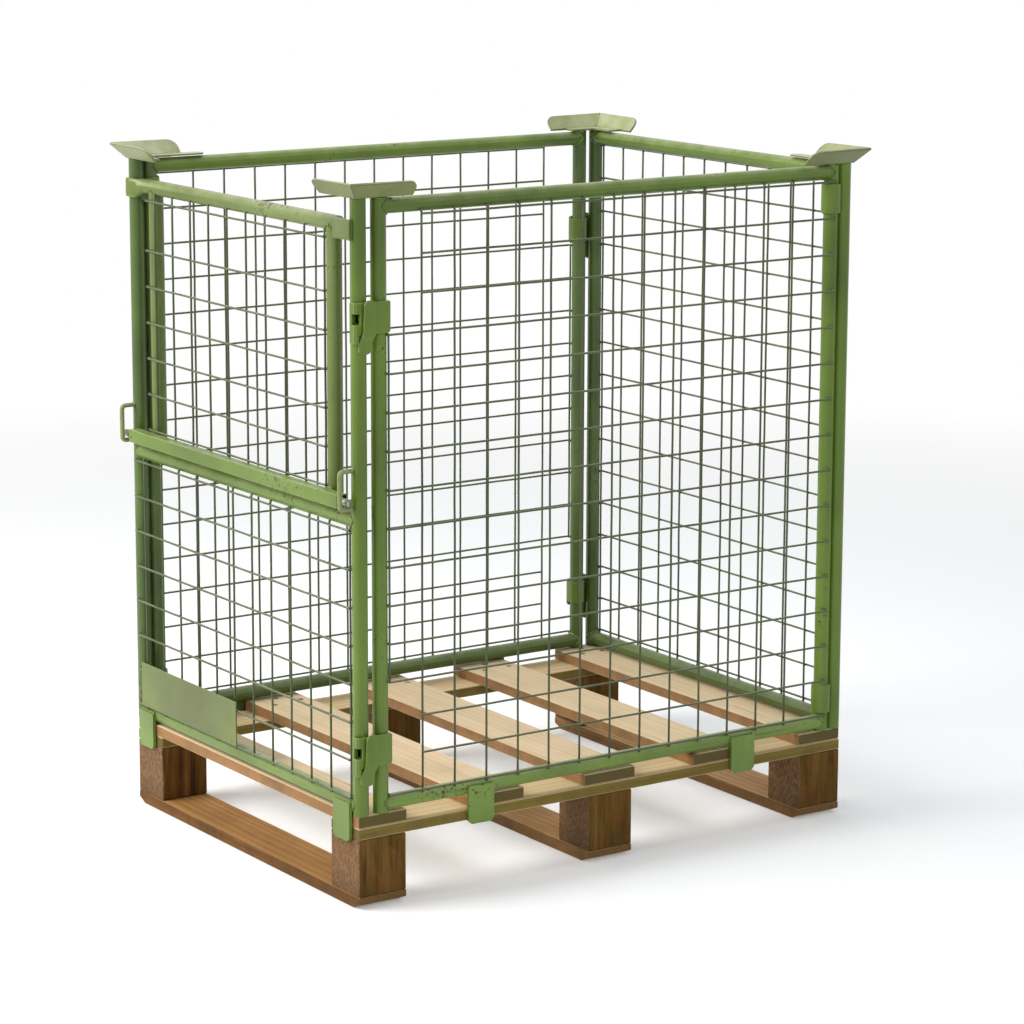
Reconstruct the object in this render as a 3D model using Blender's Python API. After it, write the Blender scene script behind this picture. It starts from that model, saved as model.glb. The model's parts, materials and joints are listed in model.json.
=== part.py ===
"""Demountable wire-mesh collar on a half-size timber pallet.

Four welded tube-and-mesh panels stand round the edge of the pallet's deck. The two long
panels carry the stacking corners and drop over fittings on the two end panels. The upper
half of the left end panel is a gate that lifts in two loops and folds down outwards.

Metres, +Z up. The origin is the middle of the middle skid's underside. X runs along the
long side, the front long panel faces -Y and the gate end faces -X.
"""

import math

import bmesh
import bpy
from mathutils import Matrix, Vector

# Clearance left between pieces that touch on the real object.
GAP = 0.0003

# Pallet
PALLET_LENGTH = 0.800
PALLET_WIDTH = 0.600
SKID_THICKNESS = 0.016
SKID_NOSE_HEIGHT = 0.007
SKID_NOSE_LENGTH = 0.016
BLOCK_HEIGHT = 0.077
BLOCK_LENGTH = 0.072
BLOCK_DEPTH = 0.070
STRINGER_THICKNESS = 0.015
DECK_THICKNESS = 0.016
EDGE_BOARD_WIDTH = 0.074
INNER_BOARD_WIDTH = 0.084
INNER_BOARD_OFFSET = 0.183
BOARD_SETBACK = 0.001
BOARD_ARRIS = 0.0012

# Collar tubes
TUBE_RADIUS = 0.010
TUBE_WALL = 0.0015
TUBE_SIDES = 16
POST_HEIGHT = 0.800
POST_OVERHANG = 0.002
LATCH_SPACING = 0.030
SLEEVE_SPACING = 0.0215
TOP_RAIL_DROP = 0.0115
BOTTOM_RAIL_LIFT = 0.002

# Wire mesh
WIRE_RADIUS = 0.00175
WIRE_SIDES = 8
WELD_SIZE = 0.0012
PITCH_ACROSS = 0.050
PITCH_UP = 0.0502
LONG_SIDE_MARGIN = 0.060
END_ROW_SETBACK = 0.002
SHORT_ROWS_TOP = 3
SHORT_ROWS_BOTTOM = 2

# Left end panel with its gate
MID_RAIL_HEIGHT = 0.388
LOWER_FIRST_ROW = 0.0235
GATE_RAIL_DROP = 0.036
GATE_STILE_INSET = 0.057
GATE_TOP_ROW_DROP = 0.018
GATE_ROW_STEP = 0.069
GATE_SILL_HEIGHT = 0.018
GATE_SILL_DEPTH = 0.016
GATE_SILL_WALL = 0.0025
GATE_SILL_END_CLEARANCE = 0.003
GATE_AXIS_RISE = 0.026
FLAT_END_THICKNESS = 0.0045
FLAT_END_SLIT = 0.0008
FLAT_END_HEIGHT = 0.026
FLAT_END_OVERLAP = 0.003
CRANK_LENGTH = 0.009
FRONT_CRANK_OFFSET = 0.011
BACK_CRANK_OFFSET = 0.026
PIN_RADIUS = 0.005
PIN_PROUD = 0.006
LOOP_ROD_RADIUS = 0.003
LOOP_DEPTH = 0.016
LOOP_BEND = 0.006
LOOP_TRAVEL = 0.032

# Blank plate on the lower left mesh
SIGN_LENGTH = 0.268
SIGN_HEIGHT = 0.062
SIGN_THICKNESS = 0.0015
SIGN_POST_CLEARANCE = 0.009
SIGN_RISE = 0.013

# Locating lugs below the bottom rails
LUG_WIDTH = 0.040
LUG_THICKNESS = 0.004
LUG_SINK = 0.0006
LUG_TOP = 0.004
LUG_DROP = 0.048
LUG_CORNER = 0.005
LONG_LUG_OFFSET = 0.218
END_LUG_INSET = 0.027

# Latch strap and tongue
STRAP_THICKNESS = 0.003
STRAP_CLEARANCE = 0.0006
STRAP_HEIGHT = 0.041
STRAP_SKIRT = 0.011
STRAP_SKIRT_REACH = 0.0065
STRAP_SETBACK = 0.001
STRAP_END = 0.010
UPPER_STRAP_GAP = 0.078
LOWER_STRAP_RISE = 0.066
SLOT_REACH = 0.0055
SLOT_HEIGHT = 0.014
SLOT_RISE = 0.013
POST_HOLE_INSET = 0.001
TONGUE_WIDTH = 0.018
TONGUE_THICKNESS = 0.003
TONGUE_LENGTH = 0.066
TONGUE_FOOT = 0.018
TONGUE_NECK = 0.0125
TONGUE_JOGGLE = 0.006
TONGUE_FOOT_SHIFT = -0.003
TONGUE_SHIFT = 0.0025
TONGUE_LEAN = 0.0045

# Sleeve with its finger, and the eye on the end panel that the finger drops into
SLEEVE_WALL = 0.003
SLEEVE_HEIGHT = 0.040
SLEEVE_OPENING = math.radians(24)
UPPER_SLEEVE_DROP = 0.067
LOWER_SLEEVE_RISE = 0.0265
ARM_HEIGHT = 0.018
FINGER_WIDTH = 0.0054
FINGER_CLEARANCE = 0.0006
EYE_OFFSET = 0.0015
EYE_WALL = 0.0025
EYE_HEIGHT = 0.012
EYE_SINK = 0.0012
EYE_FOOT = 0.007

# Stacking corners
CORNER_THICKNESS = 0.003
CORNER_LEG = 0.060
CORNER_BAND = 0.021
WING_LENGTH = 0.086
WING_FLARE = 0.017
WING_RISE = 0.019
WING_END_RADIUS = 0.015

# Heights and axis lines that follow from the sizes above
BLOCK_BASE = SKID_THICKNESS + GAP
STRINGER_BASE = BLOCK_BASE + BLOCK_HEIGHT + GAP
DECK_BASE = STRINGER_BASE + STRINGER_THICKNESS + GAP
DECK_TOP = DECK_BASE + DECK_THICKNESS
TUBE_CORNER = TUBE_RADIUS / math.cos(math.pi / TUBE_SIDES)
POST_FOOT = DECK_TOP + GAP
POST_TOP = POST_FOOT + POST_HEIGHT
TOP_RAIL_Z = POST_TOP - TOP_RAIL_DROP
BOTTOM_RAIL_Z = POST_FOOT + BOTTOM_RAIL_LIFT + TUBE_RADIUS
END_X = PALLET_LENGTH / 2 + POST_OVERHANG - TUBE_RADIUS
LONG_Y = PALLET_WIDTH / 2 + POST_OVERHANG - TUBE_RADIUS
LATCH_POST_X = END_X - LATCH_SPACING
SLEEVE_POST_X = END_X - SLEEVE_SPACING
MID_RAIL_Z = POST_FOOT + MID_RAIL_HEIGHT
GATE_RAIL_Z = POST_TOP - GATE_RAIL_DROP
GATE_AXIS_X = -(END_X + TUBE_RADIUS + GAP + GATE_SILL_DEPTH / 2)
GATE_AXIS_Z = MID_RAIL_Z + GATE_AXIS_RISE
STILE_Y = LONG_Y - GATE_STILE_INSET
FLAT_END_LOW = GATE_RAIL_Z + TUBE_RADIUS - FLAT_END_HEIGHT
UPPER_STRAP_BASE = FLAT_END_LOW - UPPER_STRAP_GAP - STRAP_HEIGHT
LOWER_STRAP_BASE = POST_FOOT + LOWER_STRAP_RISE
UPPER_SLEEVE_BASE = POST_TOP - UPPER_SLEEVE_DROP
LOWER_SLEEVE_BASE = POST_FOOT + LOWER_SLEEVE_RISE

# Wires: the lines across lie on the tubes' outer faces, the uprights just inside them.
ROW_OUT = TUBE_RADIUS + GAP + WIRE_RADIUS
UPRIGHT_OUT = ROW_OUT - 2 * WIRE_RADIUS - GAP
UPRIGHT_END = GAP + math.sqrt(TUBE_CORNER ** 2 - (UPRIGHT_OUT - WIRE_RADIUS) ** 2)
FIRST_ROW_Z = TOP_RAIL_Z - TUBE_RADIUS - GAP - WIRE_RADIUS
WIRE_CORNER = WIRE_RADIUS / math.cos(math.pi / WIRE_SIDES)
EDGE_WIRE_OFFSET = math.sqrt((TUBE_CORNER + GAP + WIRE_CORNER) ** 2 - UPRIGHT_OUT ** 2)

X = Vector((1, 0, 0))
Y = Vector((0, 1, 0))
Z = Vector((0, 0, 1))


def clear_scene():
    for item in list(bpy.data.objects):
        bpy.data.objects.remove(item, do_unlink=True)


def make_material(name, colour, roughness, metallic):
    material = bpy.data.materials.new(name)
    material.use_nodes = True
    shader = material.node_tree.nodes["Principled BSDF"]
    shader.inputs["Base Color"].default_value = (*colour, 1.0)
    shader.inputs["Roughness"].default_value = roughness
    shader.inputs["Metallic"].default_value = metallic
    material.diffuse_color = (*colour, 1.0)
    return material


def make_parent(name, location=(0, 0, 0), parent=None):
    empty = bpy.data.objects.new(name, None)
    bpy.context.scene.collection.objects.link(empty)
    empty.parent = parent
    base = parent.matrix_world.translation if parent else Vector()
    empty.location = Vector(location) - base
    bpy.context.view_layer.update()
    return empty


def finish(name, shape, material, parent, smooth=True):
    """Turn a bmesh in world coordinates into a named object under its parent empty."""
    origin = parent.matrix_world.translation
    bmesh.ops.recalc_face_normals(shape, faces=shape.faces)
    bmesh.ops.translate(shape, verts=shape.verts, vec=-origin)
    mesh = bpy.data.meshes.new(name)
    shape.to_mesh(mesh)
    shape.free()
    mesh.materials.append(material)
    if smooth:
        mesh.shade_smooth()
        mesh.set_sharp_from_angle(angle=math.radians(35))
    item = bpy.data.objects.new(name, mesh)
    bpy.context.scene.collection.objects.link(item)
    item.parent = parent
    return item


def make_tool(shape, name):
    bmesh.ops.recalc_face_normals(shape, faces=shape.faces)
    mesh = bpy.data.meshes.new(name)
    shape.to_mesh(mesh)
    shape.free()
    item = bpy.data.objects.new(name, mesh)
    bpy.context.scene.collection.objects.link(item)
    return item


def combine(shape, others, operation):
    """The shape with others joined to it or cut from it, worked out with exact booleans."""
    target = make_tool(shape, "target")
    tools = [make_tool(other, "tool") for other in others]
    for tool in tools:
        step = target.modifiers.new("step", "BOOLEAN")
        step.operation = operation
        step.solver = "EXACT"
        step.object = tool
    bpy.context.view_layer.update()
    result = bmesh.new()
    result.from_object(target, bpy.context.evaluated_depsgraph_get())
    for item in tools + [target]:
        data = item.data
        bpy.data.objects.remove(item, do_unlink=True)
        bpy.data.meshes.remove(data)
    return result


def frame_of(direction):
    side = direction.cross(Z)
    if side.length < 1e-6:
        side = X.copy()
    side.normalize()
    return side, side.cross(direction).normalized()


def circle_points(radius, sides):
    """Corners of a regular polygon whose flats touch the circle of that radius."""
    corner = radius / math.cos(math.pi / sides)
    turn = 2 * math.pi / sides
    angles = [turn * (i + 0.5) for i in range(sides)]
    return [(corner * math.cos(a), corner * math.sin(a)) for a in angles]


def ring_offsets(direction, radius, sides):
    side, up = frame_of(direction)
    return [side * p + up * q for p, q in circle_points(radius, sides)]


def saddle_depth(offset, direction, crossing, reach):
    """How far a tube's end stays clear of a crossing tube's axis, for one point of its rim."""
    if crossing is None:
        return 0.0
    across = offset.dot(direction.cross(crossing).normalized())
    return math.sqrt(max(reach ** 2 - across ** 2, 0.0))


def bridge_rings(shape, first, second):
    count = len(first)
    for i in range(count):
        j = (i + 1) % count
        shape.faces.new((first[i], first[j], second[j], second[i]))


def add_tube(shape, start, end, crossing_start=None, crossing_end=None, reach=TUBE_CORNER + GAP):
    """A round tube whose ends are saddle-cut to the tubes that cross them."""
    start, end = Vector(start), Vector(end)
    direction = (end - start).normalized()
    rings = []
    for bore in (TUBE_RADIUS, TUBE_RADIUS - TUBE_WALL):
        offsets = ring_offsets(direction, bore, TUBE_SIDES)
        near = [start + o + direction * saddle_depth(o, direction, crossing_start, reach) for o in offsets]
        far = [end + o - direction * saddle_depth(o, direction, crossing_end, reach) for o in offsets]
        rings.append(([shape.verts.new(p) for p in near], [shape.verts.new(p) for p in far]))
    (outer_near, outer_far), (inner_near, inner_far) = rings
    bridge_rings(shape, outer_near, outer_far)
    bridge_rings(shape, inner_far, inner_near)
    bridge_rings(shape, inner_near, outer_near)
    bridge_rings(shape, outer_far, inner_far)


def add_rod(shape, points, radius, sides):
    """A solid round bar swept along a line of points."""
    points = [Vector(p) for p in points]
    rings = []
    for i, point in enumerate(points):
        before = (point - points[i - 1]).normalized() if i else None
        after = (points[i + 1] - point).normalized() if i + 1 < len(points) else None
        direction = ((before or after) + (after or before)).normalized()
        stretch = 1.0 / max(direction.dot(after or before), 0.5)
        side, up = plane_frame(points, direction)
        ring = [shape.verts.new(point + side * p + up * q * stretch) for p, q in circle_points(radius, sides)]
        rings.append(ring)
    for first, second in zip(rings, rings[1:]):
        bridge_rings(shape, first, second)
    shape.faces.new(list(reversed(rings[0])))
    shape.faces.new(rings[-1])


def plane_frame(points, direction):
    """Side vector normal to the plane of the path, so that every ring lines up."""
    if len(points) < 3:
        return frame_of(direction)
    side = (points[1] - points[0]).cross(points[-1] - points[1]).normalized()
    return side, side.cross(direction).normalized()


def rounded_path(corners, radius, steps=4):
    """The corner points of a path, each inner one replaced by a short arc."""
    corners = [Vector(c) for c in corners]
    path = [corners[0]]
    for before, corner, after in zip(corners, corners[1:], corners[2:]):
        enter = corner + (before - corner).normalized() * radius
        leave = corner + (after - corner).normalized() * radius
        for i in range(steps + 1):
            t = i / steps
            path.append((1 - t) ** 2 * enter + 2 * t * (1 - t) * corner + t ** 2 * leave)
    path.append(corners[-1])
    return path


def add_prism(shape, outline, base, along, across, out, depth):
    """An outline drawn in the plane of two axes and carried along the third."""
    low = [shape.verts.new(Vector(base) + across * p + out * q) for p, q in outline]
    high = [shape.verts.new(v.co + along * depth) for v in low]
    bridge_rings(shape, low, high)
    shape.faces.new(list(reversed(low)))
    shape.faces.new(high)


def add_box(shape, low, high):
    low, high = Vector(low), Vector(high)
    centre = (low + high) / 2
    size = high - low
    matrix = Matrix.Translation(centre) @ Matrix.Diagonal((*size, 1.0))
    bmesh.ops.create_cube(shape, size=1.0, matrix=matrix)


def board(name, low, high, material, parent):
    """A sawn board or block with its edges just eased."""
    shape = bmesh.new()
    add_box(shape, low, high)
    bmesh.ops.bevel(shape, geom=shape.edges[:], offset=BOARD_ARRIS, segments=1, affect="EDGES")
    return finish(name, shape, material, parent, smooth=False)


def even_lines(first, last, pitch):
    count = int((last - first) / pitch + 1e-6) + 1
    return [first + pitch * i for i in range(count)]


# Pallet

def skid(name, centre_x, material, parent):
    """Bottom board with both noses cut back underneath."""
    half = PALLET_WIDTH / 2
    outline = [
        (-half + SKID_NOSE_LENGTH, 0.0),
        (half - SKID_NOSE_LENGTH, 0.0),
        (half, SKID_NOSE_HEIGHT),
        (half, SKID_THICKNESS),
        (-half, SKID_THICKNESS),
        (-half, SKID_NOSE_HEIGHT),
    ]
    shape = bmesh.new()
    add_prism(shape, outline, (centre_x - BLOCK_LENGTH / 2, 0, 0), X, Y, Z, BLOCK_LENGTH)
    return finish(name, shape, material, parent, smooth=False)


def build_pallet(parent):
    timber = make_material("pallet_timber", (0.72, 0.55, 0.35), 0.75, 0.0)
    block_wood = make_material("pallet_block_wood", (0.45, 0.31, 0.18), 0.85, 0.0)
    skid_wood = make_material("pallet_skid_wood", (0.60, 0.42, 0.25), 0.80, 0.0)
    row = (PALLET_LENGTH - BLOCK_LENGTH) / 2
    sides = (("front", -(PALLET_WIDTH - BLOCK_DEPTH) / 2), ("back", (PALLET_WIDTH - BLOCK_DEPTH) / 2))
    for place, x in (("left", -row), ("middle", 0.0), ("right", row)):
        skid("skid_" + place, x, skid_wood, parent)
        for side, y in sides:
            low = (x - BLOCK_LENGTH / 2, y - BLOCK_DEPTH / 2, BLOCK_BASE)
            high = (x + BLOCK_LENGTH / 2, y + BLOCK_DEPTH / 2, BLOCK_BASE + BLOCK_HEIGHT)
            board("block_%s_%s" % (place, side), low, high, block_wood, parent)
    for side, y in sides:
        low = (-PALLET_LENGTH / 2, y - BLOCK_DEPTH / 2, STRINGER_BASE)
        high = (PALLET_LENGTH / 2, y + BLOCK_DEPTH / 2, STRINGER_BASE + STRINGER_THICKNESS)
        board("stringer_" + side, low, high, timber, parent)
    edge = (PALLET_LENGTH - EDGE_BOARD_WIDTH) / 2
    layout = [
        (-edge, EDGE_BOARD_WIDTH),
        (-INNER_BOARD_OFFSET, INNER_BOARD_WIDTH),
        (0.0, INNER_BOARD_WIDTH),
        (INNER_BOARD_OFFSET, INNER_BOARD_WIDTH),
        (edge, EDGE_BOARD_WIDTH),
    ]
    for number, (x, width) in enumerate(layout, start=1):
        end = PALLET_WIDTH / 2 - BOARD_SETBACK
        low = (x - width / 2, -end, DECK_BASE)
        high = (x + width / 2, end, DECK_TOP)
        board("deck_board_%d" % number, low, high, timber, parent)


# Pieces shared by the panels

def post(name, x, y, material, parent, fittings=(), holes=()):
    """An upright tube, with what is welded along it and cut in it."""
    shape = bmesh.new()
    add_tube(shape, (x, y, POST_FOOT), (x, y, POST_TOP))
    if fittings:
        shape = combine(shape, fittings, "UNION")
    if holes:
        shape = combine(shape, holes, "DIFFERENCE")
    return finish(name, shape, material, parent)


def rail(name, start, end, material, parent, fittings=()):
    """A level tube between two posts, saddle-cut to both, with what is welded along it."""
    shape = bmesh.new()
    add_tube(shape, start, end, Z, Z)
    if fittings:
        shape = combine(shape, fittings, "UNION")
    return finish(name, shape, material, parent)


def lug(place, along, out):
    """Flat tab on a bottom rail's outer face that hangs over the pallet's side."""
    half = LUG_WIDTH / 2
    outline = [(-half, LUG_TOP), (-half, LUG_CORNER - LUG_DROP), (LUG_CORNER - half, -LUG_DROP)]
    outline += [(half - LUG_CORNER, -LUG_DROP), (half, LUG_CORNER - LUG_DROP), (half, LUG_TOP)]
    shape = bmesh.new()
    base = place + out * (TUBE_RADIUS - LUG_SINK)
    add_prism(shape, outline, base, out, along, Z, LUG_THICKNESS + LUG_SINK)
    return shape


def wire_mesh(name, columns, rows, spot, material, parent):
    """Crossing wires, welded to one body along one full upright and once on every other one.

    A column is (position, low, high), a row is (height, from, to), and spot turns a position
    along the panel, a height and a distance out from the tubes' axes into a point.
    """
    wires = bmesh.new()
    welds = bmesh.new()
    for place, low, high in columns:
        add_rod(wires, [spot(place, low, UPRIGHT_OUT), spot(place, high, UPRIGHT_OUT)], WIRE_RADIUS, WIRE_SIDES)
    for height, start, end in rows:
        add_rod(wires, [spot(start, height, ROW_OUT), spot(end, height, ROW_OUT)], WIRE_RADIUS, WIRE_SIDES)
    spine = max(columns, key=lambda column: column[2] - column[1])
    crossings = [(spine[0], row[0]) for row in rows]
    for column in columns:
        if column is not spine:
            crossings.append((column[0], next(row[0] for row in rows if column[1] < row[0] < column[2])))
    half = WELD_SIZE / 2
    for place, height in crossings:
        corners = [spot(place - half, height - half, UPRIGHT_OUT), spot(place + half, height + half, ROW_OUT)]
        low = [min(a, b) for a, b in zip(*corners)]
        high = [max(a, b) for a, b in zip(*corners)]
        add_box(welds, low, high)
    return finish(name, combine(wires, [welds], "UNION"), material, parent)


def full_rows():
    count = int((FIRST_ROW_Z - BOTTOM_RAIL_Z) / PITCH_UP) + 1
    return [FIRST_ROW_Z - PITCH_UP * i for i in range(count)]


# Long panels. Each is drawn as the front one, and the back one is the same turned half a turn.

def long_panel_mesh(name, turn, material, parent):
    left, right = -LATCH_POST_X, SLEEVE_POST_X
    edge, *places = even_lines(left + EDGE_WIRE_OFFSET, right - LONG_SIDE_MARGIN, PITCH_ACROSS)
    columns = [(x, BOTTOM_RAIL_Z + UPRIGHT_END, TOP_RAIL_Z - UPRIGHT_END) for x in places]
    heights = full_rows()
    last_long = len(heights) - 2 - SHORT_ROWS_BOTTOM
    columns.append((edge, heights[last_long] - WIRE_RADIUS, heights[SHORT_ROWS_TOP] + WIRE_RADIUS))
    rows = []
    for number, height in enumerate(heights):
        short = number < SHORT_ROWS_TOP or last_long < number < len(heights) - 1
        rows.append((height, (places[0] if short else edge) - 2 * WIRE_RADIUS, right))

    def spot(place, height, out):
        return turn @ Vector((place, -LONG_Y - out, height))

    return wire_mesh(name, columns, rows, spot, material, parent)


def strap_edges():
    """Plan lines of a latch strap: outside and inside left, right end, face and front."""
    inner_left = -(END_X + TUBE_CORNER + STRAP_CLEARANCE)
    right = -(LATCH_POST_X - STRAP_END)
    face = -(LONG_Y + TUBE_CORNER + STRAP_CLEARANCE)
    return inner_left - STRAP_THICKNESS, inner_left, right, face, face - STRAP_THICKNESS


def strap_slot(base, inset, reach):
    """Box round a strap's bend, drawn as a tool that cuts its slot or the hole behind it."""
    outer_left, _, _, _, front = strap_edges()
    shape = bmesh.new()
    low = (outer_left - STRAP_THICKNESS, front - STRAP_THICKNESS, base + SLOT_RISE + inset)
    high = (-END_X - reach, -LONG_Y - reach, base + SLOT_RISE + SLOT_HEIGHT - inset)
    add_box(shape, low, high)
    return shape


def latch_strap(name, base, turn, material, parent):
    """Bent strap round the end post and across the long panel's, with its slot and skirt."""
    outer_left, inner_left, right, face, front = strap_edges()
    low = base - STRAP_SKIRT
    back = -LONG_Y - STRAP_SETBACK
    chamfer = STRAP_THICKNESS * 0.8
    lip = STRAP_END - STRAP_THICKNESS
    seat = -LONG_Y - math.sqrt((TUBE_CORNER + GAP) ** 2 - lip ** 2)
    plan = [
        (outer_left, back), (outer_left, front + chamfer), (outer_left + chamfer, front),
        (right, front), (right, seat), (right - STRAP_THICKNESS, seat), (right - STRAP_THICKNESS, face),
        (inner_left, face), (inner_left, back),
    ]
    strap = bmesh.new()
    add_prism(strap, plan, (0, 0, low), Z, X, Y, STRAP_HEIGHT + STRAP_SKIRT)
    far = STRAP_THICKNESS
    skirt_end = outer_left + STRAP_SKIRT_REACH
    below = [
        (outer_left - far, low - far), (outer_left - far, low), (skirt_end - far / 2, low),
        (skirt_end, low + far / 2), (skirt_end, base), (right + far, base), (right + far, low - far),
    ]
    trim = bmesh.new()
    add_prism(trim, below, (0, front - far, 0), Y, X, Z, back - front + 2 * far)
    shape = combine(strap, [trim, strap_slot(base, 0.0, SLOT_REACH)], "DIFFERENCE")
    bmesh.ops.transform(shape, matrix=turn, verts=shape.verts)
    return finish(name, shape, material, parent, smooth=False)


def post_hole(base, turn):
    """Hole in the end post behind a strap's slot."""
    shape = strap_slot(base, POST_HOLE_INSET, SLOT_REACH - POST_HOLE_INSET)
    bmesh.ops.transform(shape, matrix=turn, verts=shape.verts)
    return shape


def eye_lines():
    """Distances in from the posts' plane to the eye's front, the finger and the eye's back."""
    eye_front = TUBE_CORNER + GAP
    finger = eye_front + EYE_WALL + FINGER_CLEARANCE
    eye_back = finger + SLEEVE_WALL + FINGER_CLEARANCE
    return eye_front, finger, eye_back


def sleeve(name, base, turn, material, parent):
    """Sleeve most of the way round the long panel's other post, with a finger on its inside end."""
    inner = TUBE_CORNER + GAP
    outer = inner + SLEEVE_WALL
    steps = 14
    angles = [-SLEEVE_OPENING - (3 * math.pi / 2 - SLEEVE_OPENING) * i / steps for i in range(steps + 1)]
    plan = [(outer * math.cos(a), outer * math.sin(a)) for a in angles]
    plan += [(inner * math.cos(a), inner * math.sin(a)) for a in reversed(angles)]
    wrap = bmesh.new()
    add_prism(wrap, plan, (SLEEVE_POST_X, -LONG_Y, base), Z, X, Y, SLEEVE_HEIGHT)
    finger = eye_lines()[1]
    left = EYE_OFFSET + EYE_WALL + FINGER_CLEARANCE
    right = left + FINGER_WIDTH
    arm_plan = [
        (-SLEEVE_WALL, outer - SLEEVE_WALL / 2), (0.0, inner + SLEEVE_WALL / 4), (EYE_OFFSET, inner + SLEEVE_WALL / 4),
        (left, finger), (right, finger), (right, finger + SLEEVE_WALL), (EYE_OFFSET, finger + SLEEVE_WALL),
    ]
    arm = bmesh.new()
    arm_base = base + SLEEVE_HEIGHT - ARM_HEIGHT
    add_prism(arm, arm_plan, (SLEEVE_POST_X, -LONG_Y, arm_base), Z, X, Y, ARM_HEIGHT - GAP)
    tip = bmesh.new()
    corner = Vector((SLEEVE_POST_X + left, -LONG_Y + finger, base + GAP))
    add_box(tip, corner, corner + Vector((FINGER_WIDTH, SLEEVE_WALL, arm_base + ARM_HEIGHT / 2 - base)))
    shape = combine(wrap, [arm, tip], "UNION")
    bmesh.ops.transform(shape, matrix=turn, verts=shape.verts)
    return finish(name, shape, material, parent)


def eye(sleeve_base, turn):
    """Closed eye welded to the end panel's post, just under the arm of the sleeve above it."""
    eye_front, finger, eye_back = eye_lines()
    low = sleeve_base + SLEEVE_HEIGHT - ARM_HEIGHT - GAP - EYE_HEIGHT
    inner_left = EYE_OFFSET + EYE_WALL
    inner_right = inner_left + FINGER_WIDTH + 2 * FINGER_CLEARANCE
    outer_right = inner_right + EYE_WALL
    plan = [
        (EYE_OFFSET, eye_front), (outer_right, eye_front), (outer_right, TUBE_RADIUS - EYE_SINK),
        (outer_right + EYE_FOOT, TUBE_RADIUS - EYE_SINK), (outer_right + EYE_FOOT, eye_front + EYE_WALL),
        (outer_right, eye_front + EYE_WALL), (outer_right, eye_back + EYE_WALL), (EYE_OFFSET, eye_back + EYE_WALL),
    ]
    base = Vector((SLEEVE_POST_X, -LONG_Y, low))
    ring = bmesh.new()
    add_prism(ring, plan, base, Z, X, Y, EYE_HEIGHT)
    hole = bmesh.new()
    near = base + Vector((inner_left, eye_front + EYE_WALL, -EYE_WALL))
    far = base + Vector((inner_right, eye_back, EYE_HEIGHT + EYE_WALL))
    add_box(hole, near, far)
    shape = combine(ring, [hole], "DIFFERENCE")
    bmesh.ops.transform(shape, matrix=turn, verts=shape.verts)
    return shape


def wing_points(along, out):
    """Outer end of a flared wing, from its root corner round the far end to its top."""
    slope = math.hypot(WING_FLARE, WING_RISE)
    rounding = WING_END_RADIUS / slope
    points = [(WING_LENGTH, 0.0)]
    steps = 5
    for i in range(steps + 1):
        angle = math.pi / 2 * i / steps
        reach = WING_LENGTH - WING_END_RADIUS * (1 - math.cos(angle))
        points.append((reach, 1 - rounding * (1 - math.sin(angle))))
    return [along * p + (out * WING_FLARE + Z * WING_RISE) * q for p, q in points]


def stacking_corner(name, corner_x, corner_y, material, parent):
    """Bent plate on two post tops: a flat L-shaped seat with two flared, round-ended wings."""
    root = Vector((corner_x, corner_y, POST_TOP + GAP)) - parent.matrix_world.translation
    in_x = -X if corner_x > 0 else X.copy()
    in_y = -Y if corner_y > 0 else Y.copy()
    shape = bmesh.new()

    def vertex(offset):
        return shape.verts.new(root + offset)

    corner = vertex(Vector())
    seat_x = vertex(in_x * CORNER_LEG)
    seat_y = vertex(in_y * CORNER_LEG)
    top = vertex(Z * WING_RISE - in_x * WING_FLARE - in_y * WING_FLARE)
    inner = [
        vertex(in_x * CORNER_LEG + in_y * CORNER_BAND),
        vertex(in_x * CORNER_BAND + in_y * CORNER_BAND),
        vertex(in_x * CORNER_BAND + in_y * CORNER_LEG),
    ]
    seat = shape.faces.new([corner, seat_x] + inner + [seat_y])
    wing_x = [vertex(p) for p in wing_points(in_x, -in_y)]
    wing_y = [vertex(p) for p in wing_points(in_y, -in_x)]
    shape.faces.new([corner, top] + list(reversed(wing_x)) + [seat_x])
    shape.faces.new([corner, seat_y] + wing_y + [top])
    bmesh.ops.recalc_face_normals(shape, faces=shape.faces)
    if seat.normal.z < 0:
        bmesh.ops.reverse_faces(shape, faces=shape.faces)
    mesh = bpy.data.meshes.new(name)
    shape.to_mesh(mesh)
    shape.free()
    mesh.materials.append(material)
    item = bpy.data.objects.new(name, mesh)
    bpy.context.scene.collection.objects.link(item)
    item.parent = parent
    sheet = item.modifiers.new("sheet", "SOLIDIFY")
    sheet.thickness = CORNER_THICKNESS
    sheet.offset = 1.0
    sheet.use_even_offset = True
    return item


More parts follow.
